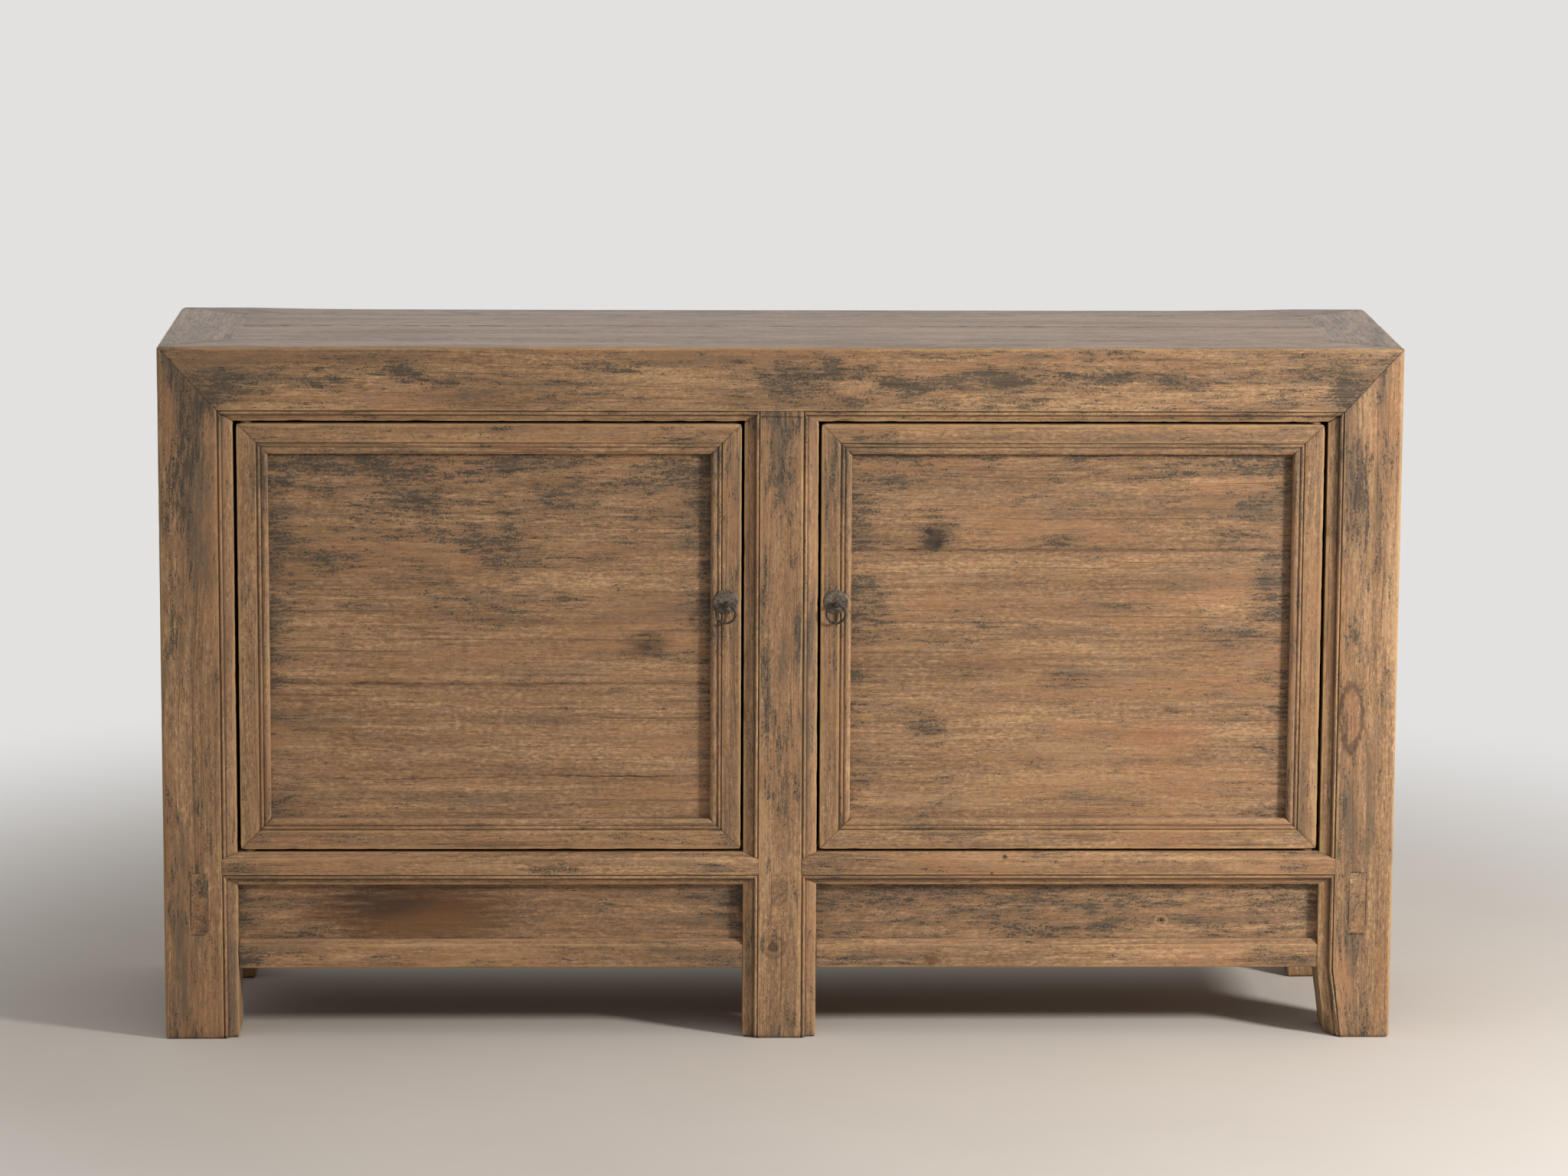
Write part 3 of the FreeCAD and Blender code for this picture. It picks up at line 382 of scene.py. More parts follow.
def sheet_caps(sheet, base):
    """The two end faces of a sheet, with places in a strip beside the rest."""
    rings, count = sheet.points.shape[:2]
    caps = []
    for ring, forward, low in ((0, False, 0.0), (rings - 1, True, 0.5)):
        corners = base + ring * count + np.arange(count)
        spots = sheet.points[ring]
        spread = np.ptp(spots, axis=0)
        wide = np.argsort(spread)[-2:]
        local = (spots[:, wide] - spots[:, wide].min(axis=0)) / np.maximum(spread[wide].max(), TINY)
        local = local * CAP_SHARE + np.array([CAP_START, low])
        if forward == sheet.flipped:
            corners = corners[::-1]
            local = local[::-1]
        caps.append((corners, local))
    return caps


BODIES = frame["record"]["behaviour"]["bodies"]
NODE_BODY = {node: body for body, members in BODIES.items() for node in members}


def joint_place(body):
    """The place of the joint that a body turns on."""
    return next(joint["pos_m"] for joint in frame["joints"] if joint["child"] == body)


def add_values(mesh, name, kind, field, sheets):
    """One of the sheets' values at each point of a mesh, for its material."""
    values = np.concatenate([getattr(sheet, name).ravel() for sheet in sheets])
    mesh.attributes.new(name, kind, "POINT").data.foreach_set(field, values.astype(np.float32))


def piece(node, material, *sheets):
    """One mesh from sheets, in place of a node of the frame and on the same body."""
    faces = []
    places = []
    base = 0
    band = np.array([1.0, 1.0 / len(sheets)])
    for number, sheet in enumerate(sheets):
        lift = np.array([0.0, number / len(sheets)])
        quads, corners = sheet_faces(sheet, base)
        faces += quads.tolist()
        places.append((corners * band + lift).reshape(-1, 2))
        if not sheet.closed:
            for cap, corner_places in sheet_caps(sheet, base):
                faces.append(cap.tolist())
                places.append(corner_places * band + lift)
        base += sheet.points.shape[0] * sheet.points.shape[1]
    mesh = bpy.data.meshes.new(node + "_worn")
    mesh.from_pydata(np.concatenate([sheet.points.reshape(-1, 3) for sheet in sheets]).tolist(), [], faces)
    layer = mesh.uv_layers.new(name="OFBake")
    layer.data.foreach_set("uv", np.concatenate(places).astype(np.float32).ravel())
    for name in ("edge", "recess", "dirt"):
        add_values(mesh, name, "FLOAT", "value", sheets)
    add_values(mesh, "grain", "FLOAT_VECTOR", "vector", sheets)
    mesh.shade_smooth()
    mesh.set_sharp_from_angle(angle=SHARP_ANGLE)
    mesh.materials.append(material)
    made = bpy.data.objects.new(node + "_worn", mesh)
    bpy.context.scene.collection.objects.link(made)
    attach(made, NODE_BODY[node])
    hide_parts(node)


# Soil: where traces of the old dark finish stay on the front, or are fewer if the strength is below 0,
# as (x, z, half length, half height, strength)

BLOTCHES = {
    "front_top_rail": [
        (-0.729, 0.861, 0.035, 0.025, 0.6), (-0.599, 0.87, 0.075, 0.012, 0.4),
        (-0.492, 0.881, 0.024, 0.012, 0.9), (-0.404, 0.864, 0.07, 0.012, 0.4),
        (-0.286, 0.861, 0.035, 0.01, 0.4), (-0.203, 0.882, 0.045, 0.01, 0.6),
        (0.015, 0.864, 0.04, 0.03, 0.7), (0.068, 0.878, 0.018, 0.016, 0.7),
        (0.169, 0.863, 0.04, 0.009, 0.8), (0.269, 0.871, 0.045, 0.012, 0.8),
        (0.352, 0.867, 0.04, 0.01, 0.4), (0.423, 0.869, 0.022, 0.01, 0.8), (0.523, 0.867, 0.055, 0.01, 0.4),
        (0.67, 0.87, 0.032, 0.014, 0.7), (0.729, 0.855, 0.028, 0.02, 0.7),
        (0.36, 0.872, 0.33, 0.035, 0.25)],
    "front_left_post": [
        (-0.76, 0.778, 0.028, 0.11, 0.6), (-0.768, 0.706, 0.012, 0.05, 0.5),
        (-0.729, 0.469, 0.007, 0.03, 1.2), (-0.752, 0.845, 0.02, 0.035, 0.7),
        (-0.785, 0.56, 0.008, 0.12, 0.5), (-0.745, 0.34, 0.012, 0.06, 0.5)],
    "front_centre_post": [
        (0.0, 0.76, 0.022, 0.07, 1.1), (-0.018, 0.457, 0.006, 0.08, 1.3), (0.012, 0.62, 0.008, 0.06, 0.6),
        (0.015, 0.066, 0.015, 0.04, 0.5), (-0.022, 0.6, 0.006, 0.1, 0.6), (0.004, 0.33, 0.01, 0.06, 0.7),
        (0.022, 0.52, 0.007, 0.05, 0.8), (-0.004, 0.54, 0.016, 0.09, -0.5)],
    "front_right_post": [
        (0.753, 0.712, 0.013, 0.06, 1.1), (0.735, 0.76, 0.015, 0.05, 0.9), (0.759, 0.612, 0.01, 0.03, 0.7),
        (0.735, 0.125, 0.02, 0.04, 0.4), (0.776, 0.69, 0.01, 0.09, 0.6), (0.745, 0.53, 0.012, 0.05, 0.6),
        (0.782, 0.45, 0.008, 0.06, 0.5), (0.75, 0.3, 0.018, 0.05, 0.4)],
    "left_door_panel": [
        (-0.48, 0.748, 0.15, 0.014, 0.6), (-0.162, 0.736, 0.06, 0.018, 0.7),
        (-0.498, 0.709, 0.07, 0.016, 0.6), (-0.374, 0.647, 0.044, 0.016, 1.1),
        (-0.286, 0.709, 0.032, 0.013, 0.7), (-0.546, 0.635, 0.05, 0.03, 0.5),
        (-0.368, 0.57, 0.12, 0.03, 0.45), (-0.174, 0.517, 0.034, 0.02, 0.7),
        (-0.239, 0.635, 0.024, 0.01, 0.5), (-0.4, 0.69, 0.29, 0.11, 0.4), (-0.38, 0.37, 0.25, 0.08, -0.5),
        (-0.274, 0.434, 0.022, 0.006, 0.7), (-0.168, 0.422, 0.016, 0.008, 0.5)],
    "right_door_panel": [
        (0.14, 0.73, 0.04, 0.05, 0.4), (0.125, 0.56, 0.02, 0.08, 0.4), (0.38, 0.7, 0.25, 0.06, 0.15),
        (0.198, 0.659, 0.018, 0.02, 1.2), (0.54, 0.746, 0.095, 0.01, 0.7), (0.605, 0.703, 0.04, 0.02, 0.9),
        (0.411, 0.647, 0.055, 0.008, 0.5), (0.493, 0.6, 0.034, 0.008, 0.7),
        (0.322, 0.623, 0.045, 0.008, 0.5), (0.582, 0.535, 0.05, 0.02, 0.7),
        (0.269, 0.54, 0.055, 0.018, 0.45), (0.375, 0.469, 0.03, 0.028, 0.6),
        (0.175, 0.345, 0.055, 0.018, 0.45), (0.334, 0.363, 0.034, 0.006, 0.8),
        (0.458, 0.309, 0.05, 0.006, 0.6), (0.169, 0.434, 0.034, 0.014, 0.5),
        (0.19, 0.41, 0.025, 0.012, 0.6), (0.353, 0.657, 0.035, 0.008, 0.7),
        (0.427, 0.573, 0.05, 0.006, 0.8), (0.584, 0.662, 0.022, 0.014, 0.7), (0.628, 0.6, 0.018, 0.05, 0.6),
        (0.245, 0.479, 0.03, 0.01, 0.6), (0.515, 0.434, 0.022, 0.009, 0.7),
        (0.289, 0.598, 0.05, 0.012, 0.5)],
    "front_lower_rail_left": [
        (-0.691, 0.223, 0.022, 0.012, 0.8), (-0.309, 0.226, 0.055, 0.008, 0.5),
        (-0.091, 0.223, 0.034, 0.01, 0.6)],
    "front_lower_rail_right": [
        (0.67, 0.223, 0.028, 0.012, 0.7), (0.068, 0.22, 0.022, 0.012, 0.5)],
    "front_apron_rail_left": [
        (-0.69, 0.1, 0.035, 0.012, 0.7), (-0.11, 0.104, 0.05, 0.012, 0.9), (-0.35, 0.094, 0.06, 0.008, 0.5),
        (-0.52, 0.106, 0.06, 0.006, 0.5)],
    "front_apron_rail_right": [
        (0.66, 0.102, 0.05, 0.01, 0.7), (0.1, 0.1, 0.03, 0.01, 0.5), (0.45, 0.108, 0.05, 0.006, 0.6)],
    "front_apron_panel_right": [
        (0.139, 0.185, 0.095, 0.012, 0.5), (0.408, 0.161, 0.005, 0.02, 0.9),
        (0.4, 0.165, 0.3, 0.045, 0.35)],
    "left_door_latch_stile": [
        (-0.072, 0.74, 0.02, 0.06, 0.8), (-0.071, 0.575, 0.026, 0.055, 0.7), (-0.06, 0.4, 0.01, 0.08, 0.3)],
    "right_door_latch_stile": [
        (0.072, 0.75, 0.02, 0.06, 0.8), (0.071, 0.575, 0.026, 0.055, 0.7), (0.068, 0.43, 0.01, 0.08, 0.3)],
    "left_door_hinge_stile": [
        (-0.665, 0.745, 0.02, 0.06, 0.9), (-0.668, 0.56, 0.014, 0.08, 0.4),
        (-0.66, 0.33, 0.014, 0.06, 0.4)],
    "right_door_hinge_stile": [
        (0.668, 0.74, 0.018, 0.06, 0.5), (0.664, 0.52, 0.014, 0.06, 0.4)],
    "left_door_top_rail": [
        (-0.52, 0.786, 0.08, 0.012, 0.5), (-0.12, 0.786, 0.05, 0.014, 0.7)],
    "right_door_top_rail": [
        (0.13, 0.786, 0.04, 0.014, 0.8), (0.56, 0.786, 0.07, 0.01, 0.5)],
    "left_door_bottom_rail": [
        (-0.56, 0.268, 0.06, 0.01, 0.4), (-0.2, 0.266, 0.05, 0.008, 0.4)],
    "right_door_bottom_rail": [
        (0.218, 0.268, 0.05, 0.01, 0.7)],
}
BLOTCH_DEPTH = 0.03
BLOTCH_STRENGTH = 1.35

# Dark residue along the borders of panels, with painted shade where the frame shades them: at the left,
# right, bottom and top
APRON_BORDER_SOIL_AND_SHADE = (1.2, 1.2, 0.4, 0.6)
APRON_SOIL_REACH = 0.02
DOOR_BORDER_SOIL_AND_SHADE = (1.5, 1.5, 0.3, 1.1)
DOOR_SOIL_REACH = 0.014
SOIL_FOOT = 0.3
SOIL_NEAR = 0.65
SOIL_SPREAD = 4.0


def blotches(node, area=None):
    """Soil from the blotches of a node, or of the area that it is part of, near the node's front."""
    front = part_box(node)[0].y

    def soil(points):
        total = np.zeros(points.shape[:-1])
        for x, z, length, height, strength in BLOTCHES.get(area or node, ()):
            square = ((points[..., 0] - x) / length) ** 2 + ((points[..., 2] - z) / height) ** 2
            square = square + ((points[..., 1] - front) / BLOTCH_DEPTH) ** 2
            total += BLOTCH_STRENGTH * strength * np.exp(-square)
        return total

    return soil


def soiled_and_shaded_borders(low, high, reach, strengths, extra):
    """Soil along a panel's borders, partly painted shade from the frame, less of it low down at the sides,
    and extra soil.

    The strengths are those at the left, right, bottom and top.
    """
    def soil(points):
        x, z = points[..., 0], points[..., 2]
        gaps = (x - low[0], high[0] - x, z - low[1], high[1] - z)
        rise = SOIL_FOOT + (1 - SOIL_FOOT) * np.clip((z - low[1]) / (high[1] - low[1]), 0, 1)
        total = np.zeros(points.shape[:-1])
        for gap, strength, share in zip(gaps, strengths, (rise, rise, 1.0, 1.0)):
            gap = np.maximum(gap, 0) / reach
            fall = SOIL_NEAR * np.exp(-gap) + (1 - SOIL_NEAR) * np.exp(-gap / SOIL_SPREAD)
            total = np.maximum(total, share * strength * fall)
        return total + extra(points)

    return soil


# Materials

def srgb(red, green, blue):
    """A colour written as it looks on a screen, 0 to 255, as a linear colour."""
    levels = [level / 255 for level in (red, green, blue)]
    linear = [level / 12.92 if level <= 0.04045 else ((level + 0.055) / 1.055) ** 2.4 for level in levels]
    return (*linear, 1.0)


class Graph:
    """Short ways to add nodes to a node tree."""

    def __init__(self, tree):
        self.tree = tree
        tree.nodes.clear()

    def node(self, kind, inputs=(), **settings):
        made = self.tree.nodes.new("ShaderNode" + kind)
        for name, value in settings.items():
            setattr(made, name, value)
        for key, value in dict(inputs).items():
            if isinstance(value, bpy.types.NodeSocket):
                self.tree.links.new(value, made.inputs[key])
            else:
                made.inputs[key].default_value = value
        return made

    def math(self, operation, first, second=0.0, third=0.0):
        return self.node("Math", {0: first, 1: second, 2: third}, operation=operation).outputs[0]

    def sum(self, *terms):
        """The sum of (factor, value) terms."""
        total = 0.0
        for factor, value in terms:
            total = self.math("MULTIPLY_ADD", value, factor, total)
        return total

    def attribute(self, name):
        return self.node("Attribute", attribute_name=name)

    def noise(self, vector, scale, detail, roughness):
        inputs = {"Vector": vector, "Scale": scale, "Detail": detail, "Roughness": roughness}
        return self.node("TexNoise", inputs).outputs[0]

    def streaks(self, vector, along, across, detail, roughness):
        """Noise drawn out along the grain."""
        scale = (along, across, across)
        drawn = self.node("VectorMath", {0: vector, 1: scale}, operation="MULTIPLY").outputs[0]
        return self.noise(drawn, 1.0, detail, roughness)

    def bump(self, height, strength, depth):
        return self.node("Bump", {"Strength": strength, "Distance": depth, "Height": height}).outputs[0]

    def surface(self, shader, output="OutputMaterial"):
        self.node(output, {"Surface": shader.outputs[0]})

    def span(self, value, low, high, to_low=0.0, to_high=1.0, kind="SMOOTHSTEP"):
        inputs = {"Value": value, "From Min": low, "From Max": high, "To Min": to_low, "To Max": to_high}
        return self.node("MapRange", inputs, interpolation_type=kind).outputs[0]

    def mix(self, factor, first, second, mode="MIX"):
        inputs = {0: factor, 6: first, 7: second}
        return self.node("Mix", inputs, data_type="RGBA", blend_type=mode).outputs[2]

    def ramp(self, value, stops):
        made = self.node("ValToRGB", {0: value})
        elements = made.color_ramp.elements
        while len(elements) < len(stops):
            elements.new(0.5)
        for element, (place, colour) in zip(elements, stops):
            element.position = place
            element.color = colour
        return made.outputs[0]


def new_material(name):
    """An empty node material and its graph."""
    material = bpy.data.materials.new(name)
    material.use_nodes = True
    return material, Graph(material.node_tree)


# Colours of the bare wood, its layers and its marks; the deep colour paints shade in hollow corners and
# darkens joints, and the grime and dust colours of level faces also paint a pale sheen
FRAME_TONE = {
    "dark": srgb(111, 85, 61), "middle": srgb(157, 122, 90), "light": srgb(203, 165, 123),
    "warm": srgb(166, 121, 85), "olive": srgb(152, 118, 76), "mauve": srgb(145, 120, 99),
    "vein": srgb(104, 76, 53), "worn": srgb(192, 157, 117), "veil": srgb(100, 86, 70),
    "residue": srgb(52, 46, 38), "crust": srgb(82, 72, 59), "rubbed": srgb(194, 158, 108),
    "deep": srgb(46, 36, 27), "grime": srgb(110, 96, 86), "dust": srgb(176, 158, 146),
    "warmth": 0.55, "load": 0.0, "spread": 1.0, "haze": 0.75, "shelter": 0.65, "rough": 0.5}
KNOT = srgb(62, 46, 34)
STAIN = srgb(98, 64, 36)
RUDDY = srgb(160, 108, 78)
PALE = srgb(186, 150, 108)
AMBER = srgb(132, 96, 58)
HOLE = srgb(38, 28, 20)

# Patterns in the wood: cells per metre along and across the grain, detail and roughness
DRIFT_PATTERN = (1.2, 6.0, 2.0, 0.6)
STAIN_PATTERN = (14.0, 160.0, 5.0, 0.66)
STRAIGHT_PATTERNS = {
    "dash": (50.0, 320.0, 4.0, 0.65),
    "speck": (330.0, 560.0, 2.0, 0.6),
    "grit": (140.0, 260.0, 4.0, 0.7),
}
WAVY_PATTERNS = {
    "bands": (2.5, 45.0, 4.0, 0.6),
    "lines": (5.0, 300.0, 4.0, 0.65),
    "fibre": (40.0, 800.0, 2.0, 0.6),
    "depth": (3.0, 14.0, 3.0, 0.55),
    "tint": (4.0, 20.0, 5.0, 0.65),
    "hue": (22.0, 90.0, 6.0, 0.78),
    "vein": (2.0, 190.0, 4.0, 0.65),
    "pores": (60.0, 700.0, 2.0, 0.6),
    "cloud": (13.0, 45.0, 5.0, 0.62),
    "streak": (24.0, 150.0, 5.0, 0.66),
    "haze": (3.5, 32.0, 6.0, 0.66),
}
DRIFT_ACROSS, DRIFT_DEEP = 0.04, 0.02

# Layers of colour: the levels where each starts and is full, and the most that it covers
LAYERS = {
    "warm": (0.46, 0.62, 1.0),
    "olive": (0.48, 0.36, 0.6),
    "mauve": (0.53, 0.66, 0.6),
    "vein": (0.58, 0.68, 0.6),
    "pores": (0.57, 0.67, 0.65),
    "worn": (0.47, 0.30, 0.5),
    "veil": (0.50, 0.70, 0.75),
    "smoke": (-0.2, 1.4, 0.6),
    "residue": (0.7, 1.4, 0.8),
    "rubbed": (0.2, 0.8, 0.5),
    # painted shade in hollow corners, with dark joint lines
    "deep": (0.1, 0.8, 1.0),
}

# Sums of patterns, with the share of each, and the levels at which they act
SHADE = {"bands": 0.24, "lines": 0.22, "fibre": 0.14, "grit": 0.40}
SHADE_LEVELS = (0.40, 0.60)
DEPTH_STOPS = [(0.36, (0.88, 0.86, 0.84, 1.0)), (0.62, (1.05, 1.04, 1.03, 1.0))]
DENSITY = {"cloud": 4.0, "streak": 3.6}
DENSITY_LEVEL = 3.8
FINE_RESIDUE = {"dash": 3.8, "speck": 4.0, "grit": 3.8}
FINE_LEVEL = 5.8
CRUST_LEVELS = (0.4, 0.6)
SMOKE_FINE = 0.4
HAZE_DIRT = 0.03
RUB_LINES = 1.2
# Dust on level faces, which also paints a pale sheen there: its patterns, levels and shares
DUST_AND_SHEEN = {"tint": 0.6, "lines": 0.25, "grit": 0.15}
DUST_AND_SHEEN_LEVELS = (0.43, 0.57)
DUST_AND_SHEEN_SHARES = (0.4, 0.2)
LEVEL_SLOPES = (0.85, 0.99)
LEVEL_GLOSS = 0.25
DASH_ROUGHNESS = 0.3
SPECULAR = 0.4
RELIEF = {"fibre": 0.45, "lines": 0.4, "dash": 0.3, "vein": -0.4 / LAYERS["vein"][2],
          "residue": 0.25 / LAYERS["residue"][2]}
RELIEF_STRENGTH = 0.6
RELIEF_DEPTH = 0.0010

# Kinds of mark: how uneven the border is, and the distances where a mark starts and is full
MARK_KINDS = {"knot": (1.6, 1.0, 0.4), "split": (1.6, 1.0, 0.4), "stain": (2.0, 1.3, 0.2),
              "ring": (0.6, 0.22, 0.05)}
MARK_RING = 0.8
MARK_WANDER = 0.012
MARK_BEND = (9.0, 3.0, 0.6)
MARK_GRIT = (130.0, 4.0, 0.65)
MARK_GRIT_SHARE = 0.25


def marked(graph, colour, marks):
    """Marks on a front: (kind, x, z, half length, half height, colour, strength)."""
    place = graph.node("TexCoord").outputs["Object"]
    x, y, z = graph.node("SeparateXYZ", {0: place}).outputs
    z = graph.math("MULTIPLY_ADD", graph.noise(place, *MARK_BEND), MARK_WANDER, z)
    uneven = graph.math("SUBTRACT", graph.noise(place, *MARK_GRIT), 0.5)
    streaky = graph.math("SUBTRACT", graph.streaks(place, *STAIN_PATTERN), 0.5)
    streaky = graph.math("MULTIPLY_ADD", uneven, MARK_GRIT_SHARE, streaky)
    for kind, mark_x, mark_z, length, height, paint, strength in marks:
        along = graph.math("DIVIDE", graph.math("SUBTRACT", x, mark_x), length)
        upward = graph.math("DIVIDE", graph.math("SUBTRACT", z, mark_z + MARK_WANDER / 2), height)
        away = graph.math("MULTIPLY_ADD", along, along, graph.math("MULTIPLY", upward, upward))
        away = graph.math("SQRT", away)
        roughness, start, full = MARK_KINDS[kind]
        away = graph.math("MULTIPLY_ADD", streaky if kind == "stain" else uneven, roughness, away)
        if kind == "ring":
            away = graph.math("ABSOLUTE", graph.math("SUBTRACT", away, MARK_RING))
        colour = graph.mix(graph.span(away, start, full, 0.0, strength), colour, paint)
    return colour


def grain_values(graph, axis):
    """The grain's place, edge, painted shade of hollows and joints, and dirt: the mesh's own, or plain ones
    along an axis.
    """
    if axis is None:
        values = [graph.attribute(name).outputs["Fac"] for name in ("edge", "recess", "dirt")]
        return graph.attribute("grain").outputs["Vector"], *values
    place = graph.node("SeparateXYZ", {0: graph.node("TexCoord").outputs["Object"]}).outputs
    order = [axis] + [other for other in range(3) if other != axis]
    turned = {slot: place[source] for slot, source in enumerate(order)}
    return graph.node("CombineXYZ", turned).outputs[0], 0.0, 0.0, 0.0


def grain_patterns(graph, grain):
    """The patterns of the wood by name, most of them bent by a slow drift of the grain."""
    drift = graph.math("SUBTRACT", graph.streaks(grain, *DRIFT_PATTERN), 0.5)
    across = graph.math("MULTIPLY", drift, DRIFT_ACROSS)
    deep = graph.math("MULTIPLY", drift, DRIFT_DEEP)
    drift = graph.node("CombineXYZ", {1: across, 2: deep}).outputs[0]
    wavy = graph.node("VectorMath", {0: grain, 1: drift}, operation="ADD").outputs[0]
    found = {kind: graph.streaks(grain, *pattern) for kind, pattern in STRAIGHT_PATTERNS.items()}
    found.update({kind: graph.streaks(wavy, *pattern) for kind, pattern in WAVY_PATTERNS.items()})
    return found


def wood(name, tone, axis=None, marks=()):
    """Old dry wood: streaky grain, warmer and duller patches, clustered traces of a dark finish."""
    material, graph = new_material(name)
    grain, edge, recess, dirt = grain_values(graph, axis)
    found = grain_patterns(graph, grain)

    def blend(shares, factor=1.0):
        return graph.sum(*[(factor * share, found[kind]) for kind, share in shares.items()])

    def layer(kind, value, share=1.0):
        start, full, most = LAYERS[kind]
        return graph.span(value, start, full, 0.0, most * share)

    spread = tone["spread"]
    density = graph.math("SUBTRACT", blend(DENSITY, spread), DENSITY_LEVEL * spread - tone["load"])
    density = graph.math("ADD", density, dirt)
    fine = graph.math("SUBTRACT", blend(FINE_RESIDUE), FINE_LEVEL)
    smoke = graph.math("MULTIPLY_ADD", fine, SMOKE_FINE, density)
    haze = graph.math("MULTIPLY_ADD", dirt, HAZE_DIRT, found["haze"])
    crust = graph.mix(graph.span(found["lines"], *CRUST_LEVELS), tone["residue"], tone["crust"])
    rub = graph.math("ADD", edge, graph.math("MULTIPLY_ADD", found["lines"], RUB_LINES, -RUB_LINES / 2))
    found["vein"] = layer("vein", found["vein"])
    found["residue"] = layer("residue", graph.math("ADD", density, fine))

    shade = graph.span(blend(SHADE), *SHADE_LEVELS, kind="LINEAR")
    colour = graph.ramp(shade, [(0.0, tone["dark"]), (0.5, tone["middle"]), (1.0, tone["light"])])
    colour = graph.mix(1.0, colour, graph.ramp(found["depth"], DEPTH_STOPS), "MULTIPLY")
    for share, paint in (
            (layer("warm", found["tint"], tone["warmth"]), tone["warm"]),
            (layer("olive", found["hue"]), tone["olive"]),
            (layer("mauve", found["hue"]), tone["mauve"]),
            (found["vein"], tone["vein"]),
            (layer("pores", found["pores"]), tone["vein"]),
            (layer("worn", haze, tone["haze"]), tone["worn"]),
            (layer("veil", haze, tone["haze"]), tone["veil"]),
            (layer("smoke", smoke), tone["veil"]),
            (found["residue"], crust)):
        colour = graph.mix(share, colour, paint)
    if marks:
        colour = marked(graph, colour, marks)
    colour = graph.mix(layer("rubbed", rub), colour, tone["rubbed"])
    # Painted shade in hollow corners, and dark lines at joints and seams
    colour = graph.mix(layer("deep", recess, tone["shelter"]), colour, tone["deep"])

    # Level faces take dust together with a pale painted sheen, less of both where there is more residue
    upward = graph.node("SeparateXYZ", {0: graph.node("NewGeometry").outputs["Normal"]}).outputs[2]
    level = graph.span(upward, *LEVEL_SLOPES)
    dust_and_sheen_share = graph.span(found["residue"], 0.0, LAYERS["residue"][2], *DUST_AND_SHEEN_SHARES)
    dust = graph.ramp(blend(DUST_AND_SHEEN), list(zip(DUST_AND_SHEEN_LEVELS, (tone["grime"], tone["dust"]))))
    colour = graph.mix(graph.math("MULTIPLY", level, dust_and_sheen_share), colour, dust)
    bump = graph.bump(blend(RELIEF), RELIEF_STRENGTH, RELIEF_DEPTH)
    rough = graph.math("MULTIPLY_ADD", found["dash"], DASH_ROUGHNESS, tone["rough"])
    rough = graph.math("MULTIPLY_ADD", level, -LEVEL_GLOSS, rough)
    graph.surface(graph.node("BsdfPrincipled", {"Base Color": colour, "Roughness": rough, "Normal": bump,
                                                "Specular IOR Level": SPECULAR}))
    return material


# Forged iron: patterns as cells per metre, detail and roughness, and the levels at which they act
MOTTLE = (220.0, 4.0, 0.65)
IRON_GRIT = (1100.0, 3.0, 0.6)
RUST_SPOTS = (330.0, 3.0, 0.6)
RUST = srgb(94, 68, 50)
RUST_LEVELS = (0.52, 0.66)
MOST_RUST = 0.45
IRON_LEVELS = (0.40, 0.50, 0.60)
MOTTLE_SHARE = 0.6
MOTTLE_RELIEF = 0.7
IRON_RELIEF_DEPTH = 0.0004
IRON_ROUGHNESS = 0.4
IRON_METALLIC = 0.25


def iron(name, *colours):
    """Dull forged iron, from its dark, middle and light colours, with a little rust."""
    material, graph = new_material(name)
    place = graph.node("TexCoord").outputs["Object"]
    mottle = graph.noise(place, *MOTTLE)
    grit = graph.noise(place, *IRON_GRIT)
    shade = graph.sum((MOTTLE_SHARE, mottle), (1 - MOTTLE_SHARE, grit))
    colour = graph.ramp(shade, list(zip(IRON_LEVELS, colours)))
    rust = graph.span(graph.noise(place, *RUST_SPOTS), *RUST_LEVELS, 0.0, MOST_RUST)
    colour = graph.mix(rust, colour, RUST)
    relief = graph.sum((MOTTLE_RELIEF, mottle), (1 - MOTTLE_RELIEF, grit))
    bump = graph.bump(relief, RELIEF_STRENGTH, IRON_RELIEF_DEPTH)
    rough = graph.math("MULTIPLY_ADD", grit, IRON_ROUGHNESS, IRON_ROUGHNESS)
    graph.surface(graph.node("BsdfPrincipled", {"Base Color": colour, "Roughness": rough, "Normal": bump,
                                                "Metallic": IRON_METALLIC}))
    return material


def tenon_lines(sign):
    """Dark lines round the end of a through tenon on a front post's face."""
    middle = (TENON_LOW + TENON_HIGH) / 2
    tall = TENON_LINE_TALL * (TENON_HIGH - TENON_LOW) / 2
    wide = TENON_LINE_WIDE * TENON_WIDTH
    outer = -LEFT - TENON_INSET
    across = sign * (outer - TENON_WIDTH / 2)
    upright = [sign * x for x in (outer, outer - TENON_WIDTH)]
    return [*[("split", x, middle, TENON_LINE, tall, HOLE, 0.75) for x in upright],
            *[("split", across, z, wide, TENON_LINE, HOLE, 0.65) for z in (TENON_LOW, TENON_HIGH)]]


